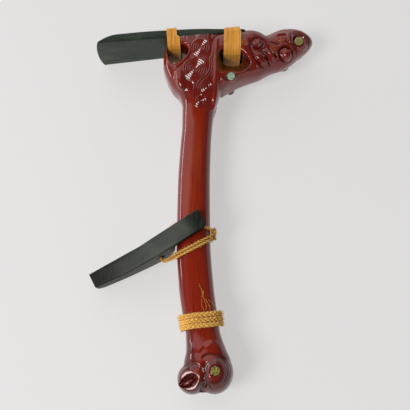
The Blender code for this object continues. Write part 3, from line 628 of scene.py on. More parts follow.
handleForm = {
    "coarseVoxel": 0.9,
    "fineVoxel": 0.72,
    "smoothing": 9,
    "triangles": 185000,
    # Above this place along Y the shaft is the foot, and this share of depth is the grip's
    "footStart": 134,
    "gripShare": 0.575,
    "shaft": (
        # place along Y, left side, right side, share of depth, squareness
        (-191, -9, 6, 0.30, 2.0),
        (-186, -17, 15, 0.62, 2.0),
        (-175, -22, 24, 0.86, 2.1),
        (-162, -21, 26, 0.84, 2.2),
        (-150, -18.9, 21.3, 0.74, 2.7),
        (-133, -19.7, 15.4, 0.64, 2.7),
        (-113, -23.4, 12.4, 0.60, 2.7),
        (-90, -26.7, 9.3, 0.575, 2.7),
        (-40, -29.8, 5.8, 0.575, 2.7),
        (20, -29.2, 5.4, 0.575, 2.7),
        (65, -26.9, 6.6, 0.59, 2.7),
        (90, -25.2, 8.4, 0.63, 2.7),
        (110, -25.2, 11.5, 0.74, 2.6),
        (122, -28.2, 15.5, 0.86, 3.0),
        (134, -38.0, 18, 0.95, 3.4),
        (146, -43.6, 20, 0.98, 3.8),
        (158, -46.9, 20, 1.0, 4.0),
        (168, -46.9, 20, 1.0, 4.0),
        (177, -44.8, 20, 1.0, 4.0),
        (184, -43.0, 20, 1.0, 4.0),
        (200, -42.8, 20, 1.0, 4.0),
    ),
    "heel": (
        # place along X, underside, top side, share of depth, squareness
        (-6, 140, 196, 0.80, 4.0),
        (8, 128, 196, 0.96, 4.0),
        (18, 129, 198, 0.99, 3.8),
        (28, 135, 200, 1.0, 3.6),
        (42, 142, 202, 0.98, 3.3),
        (54, 146, 203.6, 0.92, 3.0),
        (62, 148.4, 202, 0.86, 2.8),
        (69.5, 152.5, 198.4, 0.80, 2.6),
        (77, 156, 202, 0.78, 2.5),
        (88, 159.5, 206.5, 0.77, 2.5),
        (98, 165.5, 207.6, 0.73, 2.4),
        (108, 174, 206, 0.66, 2.3),
        (116, 180.5, 201.5, 0.52, 2.2),
        (121, 186, 197, 0.34, 2.1),
        (123.2, 190, 193, 0.12, 2.0),
    ),
    # Boxes whose insides get painted shade: left, right, bottom, top
    "darkHoles": ((-41.5, -19.0, 150, 181), (13.0, 50.0, 148.5, 180)),
    # Outline of each lashing hole at the middle plane, near the broad side and at its surface
    "holes": (
        (
            ((-41.0, 172), (-31, 176), (-22, 174), (-21.5, 167), (-30.5, 161), (-39.5, 164)),
            ((-41.6, 175.2), (-30.2, 179.2), (-20.6, 176.6), (-19.6, 166.6), (-33.0, 155.4),
             (-40.2, 161.6)),
            ((-42.4, 176.2), (-30.2, 180.8), (-19.4, 178.0), (-18.6, 166.6), (-34.8, 147.6),
             (-41.6, 159.6)),
        ),
        (
            ((21, 172), (33, 172.6), (39, 171.4), (41.5, 167.5), (39.5, 162.6), (31, 161), (23, 162),
             (20.2, 166), (20, 170)),
            ((21.3, 174.2), (32, 174.4), (44.4, 167.2), (51.2, 152.8), (43.4, 142.6), (30, 143.2),
             (16.6, 146.2), (13.9, 156), (14.8, 168)),
            ((20.6, 176.2), (32, 176.6), (46.0, 168.6), (52.2, 152.9), (44.2, 141.4), (30, 142.2),
             (15.6, 145.2), (12.9, 156), (13.8, 169.6)),
        ),
    ),
}


def shaftSection(y):
    left, right, share, squareness = valuesAt(handleForm["shaft"], y)
    depth = share * drawing["footDepth"]
    if y < handleForm["footStart"]:
        ends = drawing["buttDepth"] if y < 0 else drawing["footDepth"]
        blend = (share - handleForm["gripShare"]) / (1 - handleForm["gripShare"])
        depth = drawing["gripDepth"] + max(blend, -1.0) * (ends - drawing["gripDepth"])
    return (left + right) / 2, (right - left) / 2, depth / 2, squareness


def heelSection(x):
    low, high, share, squareness = valuesAt(handleForm["heel"], x)
    return (low + high) / 2, (high - low) / 2, share * drawing["footDepth"] / 2, squareness


def heelSide(x, y):
    middle, half, depth, squareness = heelSection(x)
    inside = max(1 - abs((y - middle) / half) ** squareness, 0.02)
    return depth * inside ** (1 / squareness)


def shaftSkin():
    rings = []
    for y in np.linspace(handleForm["shaft"][0][0], handleForm["shaft"][-1][0], 170):
        middle, half, depth, squareness = shaftSection(y)
        rings.append([(middle + a, y, b) for a, b in roundedOutline(half, depth, squareness, 72)])
    return closedSkin(rings)


def heelSkin():
    rings = []
    for x in np.linspace(handleForm["heel"][0][0], handleForm["heel"][-1][0], 110):
        middle, half, depth, squareness = heelSection(x)
        rings.append([(x, middle + a, b) for a, b in roundedOutline(half, depth, squareness, 64)])
    return closedSkin(rings)


# The middle of each shell eye on the drawing
eyes = {"heel": (105.4, 186.2), "foot": (28.6, 141.0), "butt": (9.8, -170.4)}

figures = {
    # Balls of the heel figure: x, y, radius, rise over the broad side
    "heelBalls": (
        (91.0, 170.4, 6.6, -3.0), (55.6, 177.0, 3.6, -1.4), (61.0, 181.6, 3.6, -1.2),
        (61.4, 176.2, 3.5, -1.2),
    ),
    # Mounds under the eyes: x, y, radius, level of the top
    "eyeMounds": ((*eyes["heel"], 10.0, 17.6), (28.6, 141.6, 5.8, 21.4)),
    # Limbs: x, y, height over the middle plane, radius
    "forearm": ((68.0, 173.6, 18.0, 1.8), (72.3, 168.4, 18.0, 2.6), (76.9, 163.6, 15.2, 2.2)),
    "upperArm": (
        (53.2, 170.9, 20.0, 1.6), (57.8, 166.4, 18.6, 4.6), (62.6, 161.8, 16.8, 5.0),
        (67.6, 157.6, 13.6, 2.2),
    ),
    # The roll along the rear hole: x, y, share of the foot's half depth, radius
    "footRoll": (
        (13.5, 185, 0.97, 2.0), (12.3, 172, 0.97, 3.0), (12.2, 150, 0.95, 3.4),
        (11.8, 138, 0.89, 3.5), (11.0, 122, 0.76, 3.2), (8.6, 106, 0.58, 2.0),
    ),
    "footLobe": ((-27.0, 138.5), 4.6, (6.2, 14.5, 6.0), 12),
    # Lobes of the butt: centre, reach along X and Y, share of the half depth
    "buttLobes": (((9, -172, 0), (19.4, 21.1), 1.04), ((-12.6, -178, 0), (15, 15.4), 0.9)),
}


def heelForms(side):
    # The carved figure of the heel on one broad side
    forms = []
    for x, y, reach, lift in figures["heelBalls"]:
        forms.append(ellipsoid((x, y, side * (heelSide(x, y) + lift)), (reach, reach, reach)))
    for x, y, reach, top in figures["eyeMounds"]:
        forms.append(ellipsoid((x, y, side * (top - reach * 0.8)), (reach, reach, reach * 0.8)))
    for key in ("forearm", "upperArm"):
        forms.append(limb([(x, y, side * z, reach) for x, y, z, reach in figures[key]]))
    return forms


def footForms(side):
    # Smooth rolls of the foot: one along the rear hole, one under the front hole
    half = drawing["footDepth"] / 2
    roll = [(x, y, side * (half * share - 1.6), reach) for x, y, share, reach in figures["footRoll"]]
    (x, y), sunk, radii, turn = figures["footLobe"]
    return [limb(roll), ellipsoid((x, y, side * (half - sunk)), radii, turn)]


def buttForms():
    half = drawing["buttDepth"] / 2
    return [ellipsoid(centre, (*reach, half * share)) for centre, reach, share in figures["buttLobes"]]


def lashingHole(outlines):
    # A hole right through: a slot at the middle plane that widens to each broad side
    slot, mouth, rim = (smoothPath(outline, 12, True) for outline in outlines)
    half = drawing["footDepth"] / 2
    straight, flareStart = 0.15, 0.86
    shares = (straight, 0.25, 0.4, 0.55, 0.7, 0.8, flareStart, 0.9, 0.95, 1.0, 1.08, 1.5)
    rings = []
    for share in [-s for s in reversed(shares)] + list(shares):
        widen = min(max((abs(share) - straight) / (flareStart - straight), 0.0), 1.0) ** 1.6
        flare = max((abs(share) - flareStart) / (1 - flareStart), 0.0) ** 1.3
        ring = [s + (m - s) * widen + (r - m) * flare for s, m, r in zip(slot, mouth, rim)]
        rings.append([(*p, share * half) for p in ring])
    return closedSkin(rings)


carvedMouth = {
    "middle": (-16.6, -180.2),
    # The outline of each cut, with its rows of rise and spread
    "mouth": (
        (
            (-26.4, -184.4), (-22.5, -179.6), (-18.5, -176.2), (-13.7, -173.8), (-9.2, -174.0),
            (-7.3, -176.5), (-7.8, -180.0), (-10.8, -183.3), (-15.6, -185.4), (-21.2, -186.0),
        ),
        ((0.0, 0.80), (1.0, 0.94), (3.0, 1.0), (30.0, 1.12)),
    ),
    "lips": (
        (
            (-28.4, -184.8), (-26.6, -179.6), (-24.5, -175.9), (-21.4, -171.7), (-17.3, -168.8),
            (-13.3, -167.8), (-9.3, -168.9), (-6.4, -172.0), (-5.0, -176.5), (-6.0, -181.6),
            (-9.2, -186.0), (-14.0, -188.9), (-18.8, -190.0), (-24.6, -188.4),
        ),
        ((0.0, 1.0), (2.0, 1.05), (30.0, 1.3)),
    ),
    "lipLevel": 17.4,
    "lipSlope": (0.335, 0.195),
    "floor": 13.6,
    "slope": 0.62,
    "tongue": (-14.6, -180.6, 13.8),
    "tongueSize": (6.4, 2.7, 3.6),
}


def mouthLevel(spot):
    return carvedMouth["floor"] + carvedMouth["slope"] * (min(spot.x, -9.0) + 9.0)


def lipLevel(spot):
    slopeX, slopeY = carvedMouth["lipSlope"]
    return carvedMouth["lipLevel"] + slopeX * (spot.x + 16.6) + slopeY * (spot.y + 178.6)


def almondCut(outline, level, rows, side):
    # An almond-shaped cut with a slanting floor; each row gives a rise and a spread about the middle
    midX, midY = carvedMouth["middle"]
    outline = smoothPath(outline, 6, True)
    rings = []
    for rise, share in rows:
        spots = [(midX + (p.x - midX) * share, midY + (p.y - midY) * share) for p in outline]
        rings.append([(*spot, side * (level(p) + rise)) for spot, p in zip(spots, outline)])
    return closedSkin(rings)


carving = {
    # name: kind, half width, height (below zero is a groove), and points on the drawing, or else a circle or
    # an arc with its middle, its radius and the arc's two ends in degrees
    "hole edge": ("round", 1.9, 0.8, (
        (-18.6, 181), (-16.6, 174), (-17.6, 166.4), (-21.6, 160.6), (-26.6, 156.0), (-31.0, 151.2),
        (-33.4, 146.0))),
    "lip groove": ("vee", 1.6, -1.2, ((18, 139.8), (24, 137.4), (30, 137.6), (36, 140.4), (41.5, 145.0))),
    "lip ridge": ("round", 1.9, 1.3, (
        (21.5, 136.6), (25.5, 134.8), (30, 134.9), (34.2, 137.0), (39.4, 141.8))),
    "corner ridge": ("round", 2.3, 1.5, ((18.6, 138.4), (19.4, 134.4), (19.6, 129.8))),
    "body crease": ("vee", 1.7, -1.9, (
        (50.0, 186), (50.4, 180), (51.0, 172), (54.4, 163.5), (60.6, 156.4), (65.6, 153.6))),
    "arm crease": ("vee", 1.4, -2.0, ((62.4, 174.4), (66.0, 168.6), (70.0, 162.4), (72.2, 156.4))),
    "shoulder ring": ("vee", 1.3, -2.2, ("circle", 58.4, 180.2, 6.6)),
    "shoulder dot 1": ("round", 2.7, 1.7, ((59.2, 184.2), (60.6, 183.2))),
    "shoulder dot 2": ("round", 2.6, 1.7, ((55.0, 178.2), (55.8, 176.6))),
    "shoulder dot 3": ("round", 2.5, 1.7, ((61.0, 177.6), (62.2, 176.8))),
    "forearm": ("round", 2.7, 2.3, ((66.4, 173.6), (71.2, 168.8), (76.4, 163.2))),
    "forearm gap": ("vee", 1.2, -1.6, ((70.6, 175.4), (75.4, 170.2), (79.6, 164.4))),
    "wrist": ("round", 2.2, 1.7, ((72.4, 160.8), (74.9, 157.9), (77.0, 154.2))),
    "finger 1": ("round", 1.5, 1.9, ((57.6, 155.0), (59.4, 151.6), (60.6, 148.4))),
    "finger 2": ("round", 1.5, 1.9, ((61.8, 155.6), (63.6, 152.2), (65.2, 148.8))),
    "finger 3": ("round", 1.5, 1.9, ((66.2, 156.0), (68.2, 152.8), (70.2, 149.6))),
    "thumb": ("round", 2.2, 1.9, ((54.6, 151.0), (52.6, 148.0), (51.6, 144.4))),
    "ring top": ("round", 1.2, 1.7, (
        (82.4, 177.6), (86.6, 179.6), (91.4, 180.2), (95.6, 178.2), (98.4, 173.6), (99.2, 169.4))),
    "ring low": ("round", 1.2, 1.0, (
        (81.6, 163.2), (84.6, 160.9), (88.6, 159.8), (92.6, 160.6), (95.6, 162.2))),
    "ring left": ("round", 2.4, 2.0, ((79.8, 170.6), (80.0, 167.4), (81.6, 164.4))),
    "ring right": ("round", 2.4, 2.0, ((98.8, 168.8), (98.0, 165.8), (96.0, 163.4))),
    "snout ridge": ("round", 1.5, 1.5, ((103.2, 178.6), (107.2, 177.2), (111.6, 177.4))),
    "snout lobe": ("round", 2.4, 1.6, ((104.4, 172.6), (107.6, 171.6), (110.4, 173.2))),
    "chin line": ("vee", 1.2, -1.2, ((99.4, 163.8), (103.6, 167.6), (107.6, 169.2), (112.6, 174.6))),
    "eyebrow": ("round", 1.5, 1.5, ((94.6, 197.6), (93.2, 192.6), (93.6, 187.0), (95.2, 182.6))),
    "cheek line": ("vee", 1.2, -1.3, ((97.6, 182.4), (101.6, 177.8), (102.6, 172.0), (101.4, 166.6))),
    "bar": ("round", 1.7, 1.6, ((80.0, 192.8), (84.6, 193.6), (89.8, 194.2))),
    "head line": ("vee", 1.3, -1.1, (
        (92.5, 208), (95.4, 202), (96.6, 196), (96.2, 190), (98.4, 183.6), (102.6, 180.4))),
    "neck line": ("vee", 1.4, -1.2, (
        (68.6, 199), (68.8, 192), (70.6, 186.5), (73, 183.4), (79.6, 181), (83.0, 180.6))),
    "ball gap": ("vee", 1.5, -2.6, ("circle", 90.0, 170.1, 7.6)),
    "heel eye ring": ("vee", 1.4, -2.2, ("circle", *eyes["heel"], 6.2)),
    "heel eye ridge": ("round", 1.1, 1.2, ("circle", *eyes["heel"], 8.0)),
    "heel eye line": ("vee", 0.9, -0.8, ("arc", *eyes["heel"], 9.1, -95, 150)),
    "heel eye outer": ("vee", 0.9, -0.8, ("arc", *eyes["heel"], 11.8, -70, 125)),
    "foot eye ring": ("vee", 1.1, -1.0, ("circle", *eyes["foot"], 5.2)),
    "butt eye ring": ("vee", 1.0, -0.9, ("circle", *eyes["butt"], 5.3)),
    "mouth brow": ("vee", 2.0, -1.2, (
        (-25.6, -172.0), (-22.4, -168.3), (-18.8, -166.0), (-13.8, -164.4), (-8.9, -165.0),
        (-4.8, -167.6), (-2.0, -172.4), (-1.4, -178))),
    "eye brow": ("vee", 2.0, -1.3, (
        (-2.7, -160.5), (-0.7, -156.9), (3.5, -155.2), (9.0, -155.0), (14.5, -156.7), (18.6, -160.2),
        (21.3, -164.6))),
    "double line 1": ("vee", 0.9, -0.7, (
        (13.6, -154.6), (17.6, -157.2), (21.6, -162.0), (24.2, -167.8), (23.8, -173.4), (21.8, -178.6),
        (18.0, -183.2))),
    "double line 2": ("vee", 0.9, -0.6, (
        (15.6, -157.6), (19.6, -162.2), (21.9, -167.6), (21.6, -172.9), (19.8, -177.7), (16.6, -181.6))),
    "lobe valley": ("round", 4.6, -1.3, (
        (-4.6, -194), (-3.4, -189.4), (-1.2, -184.2), (-0.4, -177), (-1.0, -169), (1.2, -161))),
    "notch": ("round", 2.2, -1.6, ((-6.0, -195), (-3.8, -190.6), (-1.0, -185.6), (0.4, -181.6))),
    "facet line": ("vee", 1.3, -0.7, ((7.4, -187.0), (4.0, -182.0), (6.2, -178.4))),
    "neck bump": ("round", 5.5, 0.6, ((-15, -151.5), (-9, -148.0), (-3, -150.6))),
    "arch": ("round", 5.0, 0.9, (
        (0.5, -150.0), (4.5, -146.4), (9.0, -145.6), (14.0, -148.4), (18.5, -154.4))),
}


def carvingPath(entry):
    if entry[0] not in ("circle", "arc"):
        return np.array([(p.x, p.y) for p in smoothPath(entry, 6)])
    _, cx, cy, reach, *ends = entry
    low, high = ends or (0.0, 360.0)
    turns = np.radians(np.linspace(low, high, 49))
    return np.stack((cx + reach * np.cos(turns), cy + reach * np.sin(turns)), axis=1)


def nearestOn(path, spots):
    # Distance of each spot from the path, and how far along the path that is, as a share
    best = np.full(len(spots), 1e9)
    where = np.zeros(len(spots))
    for k in range(len(path) - 1):
        start, edge = path[k], path[k + 1] - path[k]
        t = np.clip(((spots - start) @ edge) / max(edge @ edge, 1e-9), 0, 1)
        away = np.linalg.norm(spots - start - t[:, None] * edge, axis=1)
        closer = away < best
        best[closer] = away[closer]
        where[closer] = (k + t[closer]) / (len(path) - 1)
    return best, where


def setValues(mesh, name, values):
    mesh.attributes.new(name, "FLOAT", "POINT").data.foreach_set("value", values)


def surfaceOf(mesh):
    # Places and normals of the mesh's points
    found = []
    for key in ("co", "normal"):
        values = np.empty(len(mesh.vertices) * 3)
        mesh.vertices.foreach_get(key, values)
        found.append(values.reshape(-1, 3))
    return found


def within(points, low, high):
    return np.all((points[:, :2] > low) & (points[:, :2] < high), axis=1)


def strokeDepth(stroke, points):
    # Which points a stroke reaches, and how deep it is there, from 0 to 1
    kind, half, _, entry = stroke
    path = carvingPath(entry)
    near = np.flatnonzero(within(points, path.min(axis=0) - half, path.max(axis=0) + half))
    away, where = nearestOn(path, points[near, :2])
    share = np.clip(away / half, 0, 1)
    cut = (1 - share) ** 1.2 if kind == "vee" else (1 - share**2) ** 1.5
    if entry[0] != "circle":
        # An open stroke runs out at both ends
        cut = cut * np.clip(np.minimum(where, 1 - where) * 7, 0, 1) ** 0.7
    return near, cut


def carve(obj):
    mesh = obj.data
    points, normals = surfaceOf(mesh)
    # Grooves run on over the rounded edges, and ridges keep to what faces up or down
    upright = np.abs(normals[:, 2])
    facing, broad = np.clip((upright - 0.22) / 0.4, 0, 1), np.clip((upright - 0.50) / 0.3, 0, 1)
    lift, hollow = np.zeros(len(points)), np.zeros(len(points))
    for stroke in carving.values():
        height = stroke[2]
        near, cut = strokeDepth(stroke, points)
        lift[near] += height * cut * (broad[near] if height > 0 else facing[near])
        # Grooves are darkened with their depth, as painted shade
        if height < 0:
            hollow[near] = np.maximum(hollow[near], cut * facing[near])
    points += normals * lift[:, None]
    mesh.vertices.foreach_set("co", points.ravel())
    # Painted shade: the holes are darkened inside
    inside = np.abs(points[:, 2]) < drawing["footDepth"] * 0.42
    for left, right, bottom, top in handleForm["darkHoles"]:
        hollow[inside & within(points, (left, bottom), (right, top))] = 1.25
    setValues(mesh, "hollow", hollow)
    # Painted light: the flat, upward-facing middle of the shaft and butt is painted brighter and warmer than
    # the rest, as if lit, and the butt's steep sides are painted darkest, as shade
    onShaft = np.clip((126 - points[:, 1]) / 16, 0, 1)
    onButt = np.clip((-128 - points[:, 1]) / 22, 0, 1)
    flat = np.clip((upright - 0.85) / 0.13, 0, 1) * onShaft
    sides = 0.42 * (1 - onButt)
    setValues(mesh, "warm", sides + (1 - 0.3 * onButt - sides) * flat)
    mesh.update()


def thinOut(obj, triangles):
    # Plain stretches keep fewer faces than the carved ends; the shading stays that of the dense mesh
    shadeSmooth(obj, 48)
    dense = linked("dense", obj.data.copy())
    obj.data.calc_loop_triangles()
    change = obj.modifiers.new("thin", "DECIMATE")
    change.ratio = min(1.0, triangles / len(obj.data.loop_triangles))
    keepShape(obj)
    shadeSmooth(obj)
    change = obj.modifiers.new("shading", "DATA_TRANSFER")
    change.object = dense
    change.use_loop_data = True
    change.data_types_loops = {"CUSTOM_NORMAL"}
    change.loop_mapping = "POLYINTERP_NEAREST"
    keepShape(obj)
    bpy.data.objects.remove(dense, do_unlink=True)


def disc(x, y, low, high, radius, side):
    return cylinder(radius, high - low, 64, Matrix.Translation((x, y, side * (low + high) / 2)))


def carvedHandle():
    shapes = [shaftSkin(), heelSkin(), *buttForms()]
    for side in (1, -1):
        shapes += heelForms(side) + footForms(side)
    obj = meshObject("carvedHandle", shapes, wood)
    voxelSkin(obj, handleForm["coarseVoxel"])
    cutOut(obj, "holes", [lashingHole(outlines) for outlines in handleForm["holes"]])
    for key, level in (("lips", lipLevel), ("mouth", mouthLevel)):
        outline, rows = carvedMouth[key]
        cutOut(obj, key, [almondCut(outline, level, rows, side) for side in (1, -1)])
    x, y, z = carvedMouth["tongue"]
    addShapes(obj, [ellipsoid((x, y, side * z), carvedMouth["tongueSize"], 30) for side in (1, -1)])
    voxelSkin(obj, handleForm["fineVoxel"], handleForm["smoothing"])
    carve(obj)
    return obj


# Blade and its seat

blade = {
    "length": 169.5,
    "width": 52.0,
    "buttWidth": 40.0,
    # Thickness by share of the length: the back is arched and thins towards the butt end
    "thickness": ((0.15, 9.0), (0.35, 9.7), (0.47, 9.4), (0.67, 8.4), (0.85, 5.8), (0.93, 4.6), (1.0, 3.6)),
    "bevelLength": 26.0,
    "edgeArc": 4.0,
    "slope": 6.0,
    "seat": 190.4,
    "tip": -123.0,
    "corner": 1.1,
    # Rounding of the butt end: its length along the blade and its depth
    "buttRound": 2.4,
    "buttInset": 1.3,
}
bladePlace = Matrix.Translation((0, blade["seat"], 0)) @ Matrix.Rotation(math.radians(blade["slope"]), 4, "Z")
bladeTip = blade["tip"] / math.cos(math.radians(blade["slope"]))


def bladeSection(along):
    share = along / blade["length"]
    half = (blade["width"] + (blade["buttWidth"] - blade["width"]) * share) / 2
    thick = valuesAt(blade["thickness"], share)[0]
    if along < blade["bevelLength"]:
        thick *= math.sin(math.pi / 2 * (along / blade["bevelLength"])) ** 0.8
    return half, thick


def bladeTop(x):
    # Level of the blade's back at a place along X, and half its width there
    onBlade = x / math.cos(math.radians(blade["slope"]))
    half, thick = bladeSection(onBlade - bladeTip)
    return (bladePlace @ Vector((onBlade, drawing["gap"] + thick, 0))).y, half


def bladeOutline(half, thick, corner):
    # Cross-section with round corners, evenly pointed, as (across, height)
    points = []
    for cx, cy, start in (
        (half - corner, corner, -90), (half - corner, thick - corner, 0),
        (-half + corner, thick - corner, 90), (-half + corner, corner, 180),
    ):
        for k in range(6):
            turn = math.radians(start + 18 * k)
            points.append((cx + corner * math.cos(turn), cy + corner * math.sin(turn)))
    full = []
    for k, point in enumerate(points):
        full.append(point)
        after = points[(k + 1) % len(points)]
        if abs(after[0] - point[0]) > 3 * corner:
            for i in range(1, 14):
                full.append((point[0] + (after[0] - point[0]) * i / 14, point[1]))
    return full


def greenBlade():
    rings = []
    lengths = [0.9, 1.8, 3.2, 5, 7, 9.5, 12.5, 16, 19.5, 23, blade["bevelLength"]]
    lengths += list(np.linspace(30, blade["length"] - blade["buttRound"], 34))
    lengths += [blade["length"] - left for left in (1.2, 0.4, 0.0)]
    for along in lengths:
        half, thick = bladeSection(along)
        left = blade["length"] - along
        if left < blade["buttRound"]:
            inset = blade["buttInset"] * (1 - math.sqrt(max(1 - (1 - left / blade["buttRound"]) ** 2, 0)))
            half, thick = half - inset, thick - inset
        ring = []
        for across, height in bladeOutline(half, thick, min(blade["corner"], thick * 0.38)):
            fade = max(1 - along / 45, 0.0)
            back = blade["edgeArc"] * fade * (abs(across) / half) ** 2.4
            ring.append(bladePlace @ Vector((bladeTip + along + back, drawing["gap"] + height, across)))
        rings.append(ring)
    obj = meshObject("greenBlade", [closedSkin(rings)], bladeStone)
    shadeSmooth(obj, 40)
    return obj


# Lashings: golden thread wound side by side round the blade and the bridge of wood above each hole

lashings = {
    "thickness": 1.45,
    "thread": 0.60,
    # The rounded edge of the bridge of wood, from the hole's top: rise and way in from the broad side
    "bridge": ((8.2, 0.8), (4.2, 3.6), (1.2, 8.2), (0.0, 14.8)),
    "front": {"x": -35.7, "width": 14.2, "lean": 0.07, "holeTop": 175.4, "strands": 13, "tuck": 3.0},
    "rear": {"x": 31.0, "width": 19.0, "lean": -0.03, "holeTop": 169.4, "strands": 18, "tuck": 1.5},
}


def lashingCore(lashing):
    # The outline, as (y, z), of what the thread is wound round: the blade and the bridge of wood under it
    x, reach = lashing["x"], lashing["width"] / 2
    footHalf = drawing["footDepth"] / 2
    seat = (bladePlace @ Vector((x, 0, 0))).y
    half = [(bladeTop(x)[0], bladeTop(x - reach)[1]), (seat, footHalf)]
    half += [(lashing["holeTop"] + rise, footHalf - inward) for rise, inward in lashings["bridge"]]
    return half + [(y, -z) for y, z in reversed(half)]


def offsetLoop(corners, away, steps):
    # The corners' outline moved outwards, with round corners of that radius, as (y, z)
    points = []
    total = len(corners)
    for k in range(total):
        before, here, after = (Vector(corners[(k + n) % total]) for n in (-1, 0, 1))
        turns = [math.atan2(-edge.x, edge.y) for edge in (here - before, after - here)]
        sweep = (turns[1] - turns[0] + math.pi) % (2 * math.pi) - math.pi
        for i in range(steps + 1):
            angle = turns[0] + sweep * i / steps
            points.append(here + Vector((math.cos(angle), math.sin(angle))) * away)
    return points


def lashingRows(lashing, shifts, away, steps):
    corners = lashingCore(lashing)
    rows = []
    for shift in shifts:
        loop = offsetLoop(corners, away, steps)
        row = []
        for p in loop:
            rise = shift * math.tan(math.radians(blade["slope"])) if p.x > corners[1][0] - 1 else 0.0
            row.append((lashing["x"] + shift + (corners[0][0] - p.x) * lashing["lean"], p.x + rise, p.y))
        rows.append(row)
    return rows


def lashingBand(lashing, inner, outer):
    reach = lashing["width"] / 2
    rows = lashingRows(lashing, (-reach, reach), outer, 3) + lashingRows(lashing, (reach, -reach), inner, 3)
    return closedBand(rows)


def threadTree():
    tree, given = newTree("woundThreads", (
        ("Strands", "Int", 12), ("Spacing", "Float", 0.75), ("Thread Radius", "Float", 0.42),
        ("Lean", "Float", 0.0), ("Top", "Float", 200.0), ("Seat", "Float", 190.0), ("Tuck", "Float", 0.0),
        ("Wander", "Float", 0.5), ("Seed", "Float", 3.0), ("Material", "Material", None),
    ))
    out = given.outputs
    many, number = copiesOf(tree, evenCurve(tree, out["Geometry"], 0.8), out["Strands"])
    spot = field(tree, "Position")
    height = partsOf(tree, spot)[1]
    middle = calc(tree, "DIVIDE", minus(tree, out["Strands"], 1.0), 2.0)
    place = product(tree, minus(tree, number, middle), out["Spacing"])
    slant = product(tree, minus(tree, out["Top"], height), out["Lean"])
    # Strands crowd together where they pass over the blade
    over = spread(tree, height, 0.0, 1.0, minus(tree, out["Seat"], 1.2), out["Seat"])
    share = calc(tree, "DIVIDE", place, product(tree, middle, out["Spacing"]))
    tucked = product(tree, over, calc(tree, "MAXIMUM", share, 0.0), out["Tuck"])
    across = minus(tree, total(tree, place, slant), tucked)
    rise = product(tree, over, across, math.tan(math.radians(blade["slope"])))
    # A little wander, different for each strand
    own = vectorOf(tree, product(tree, number, 7.1), out["Seed"])
    drift = stray(tree, vectorCalc(tree, "ADD", vectorCalc(tree, "SCALE", spot, 0.11), own), out["Wander"])
    moved = shifted(tree, many, vectorCalc(tree, "ADD", vectorOf(tree, across, rise), drift))
    named = keepValue(tree, moved, "thread", vectorOf(tree, number, lengthAlong(tree)), "FLOAT_VECTOR")
    finishTree(tree, roundTube(tree, named, out["Thread Radius"], False), out["Material"])
    return tree


def woundLashing(name, lashing, tree, seed):
    radius = lashings["thread"]
    away = drawing["gap"] + lashings["thickness"] - radius
    loop = lashingRows({**lashing, "lean": 0.0}, (0.0,), away, 4)[0]
    strands = guideLines(name, [loop], closed=True)
    (top, _), (seat, _) = lashingCore(lashing)[:2]
    spacing = (lashing["width"] - 2 * radius) / (lashing["strands"] - 1)
    given = {key: lashing[key] for key in ("strands", "lean", "tuck")}
    given.update(spacing=spacing, threadRadius=radius, top=top, seat=seat + 0.5, seed=float(seed))
    runTree(strands, tree, material=threadGold, **given)
    slim = {**lashing, "width": lashing["width"] - lashing["tuck"] * 2 - 0.9}
    addShapes(strands, [lashingBand(slim, drawing["gap"], drawing["gap"] + lashings["thickness"] - 0.65)])
    shadeSmooth(strands)
    return strands


# Ribs that lie on the carved wood along drawn lines

ribs = {
    "width": 2.5,
    "height": 0.75,
    "depth": 1.3,
    "pitch": 2.45,
    "heart": 0.9,
    "spirals": (
        # centre x, centre y, outer radius, direction, start in degrees
        (-4.4, 174.0, 11.6, 1, 200),
        (-11.3, 147.6, 14.2, -1, 20),
        (2.2, 127.4, 7.1, 1, 90),
        (-4.8, 111.8, 7.4, -1, 60),
        (10.8, 186.6, 2.6, 1, 0),
    ),
    "flows": (
        ((7.6, 180.5), (9.4, 173.0), (7.6, 165.5), (5.4, 160.2), (5.8, 153.0), (4.2, 146.0),
         (0.6, 140.6), (-4.4, 136.0), (-8.0, 131.0), (-9.6, 125.8), (-9.8, 119.5)),
        ((9.6, 176.0), (9.6, 168.5), (8.0, 162.0), (8.2, 154.0), (6.8, 145.8), (3.4, 139.6),
         (-1.2, 135.2), (-5.0, 130.6), (-7.0, 125.6), (-7.2, 119.5)),
        ((9.4, 147.0), (7.6, 140.6), (3.2, 136.6), (-1.2, 133.6), (-4.0, 129.0), (-4.8, 124.0),
         (-3.6, 118.8), (-0.6, 118.6)),
        ((-15.8, 134.6), (-11.6, 130.4), (-12.2, 124.6), (-12.6, 118.6), (-12.4, 112.6)),
    ),
}


def ribTree():
    tree, given = newTree("laidRibs", (
        ("Surface", "Object", None), ("Rib Width", "Float", 2.4), ("Rib Height", "Float", 0.7),
        ("Rib Depth", "Float", 1.2), ("Step", "Float", 0.55), ("Material", "Material", None),
    ))
    out = given.outputs
    laid = laidOn(tree, evenCurve(tree, out["Geometry"], out["Step"]), out["Surface"])
    upright = addNode(tree, "GeometryNodeSetCurveNormal", [("Curve", laid)], mode="Z_UP")
    ridge = addNode(tree, "GeometryNodeCurvePrimitiveQuadrilateral", [
        ("Width", out["Rib Width"]), ("Bottom Height", out["Rib Height"]), ("Top Height", out["Rib Depth"]),
    ], mode="KITE")
    tube = addNode(tree, "GeometryNodeCurveToMesh", [
        ("Curve", upright.outputs[0]), ("Profile Curve", ridge.outputs[0]), ("Fill Caps", True),
        ("Scale", keptValue(tree, "size")),
    ])
    finishTree(tree, tube.outputs[0], out["Material"])
    return tree


def spiralSpots(cx, cy, reaches, turns, steps, start=0.0):
    # Places on a flat spiral, with the share of the way out at each
    inner, outer = reaches
    spots = []
    for i in range(int(steps) + 1):
        share = i / steps
        reach = inner + (outer - inner) * share
        turn = math.radians(start) + 2 * math.pi * turns * share
        spots.append((cx + reach * math.cos(turn), cy + reach * math.sin(turn), share))
    return spots


def spiralLine(cx, cy, radius, direction, start, side):
    turns = (radius - ribs["heart"]) / ribs["pitch"]
    spots = spiralSpots(cx, cy, (ribs["heart"], radius), turns * direction, max(int(turns * 30), 12), start)
    line = []
    for x, y, share in spots:
        size = min(1.0, 0.35 + share * 3, 0.25 + (1 - share) * 7)
        line.append((x, y, side * drawing["outside"], size))
    return line


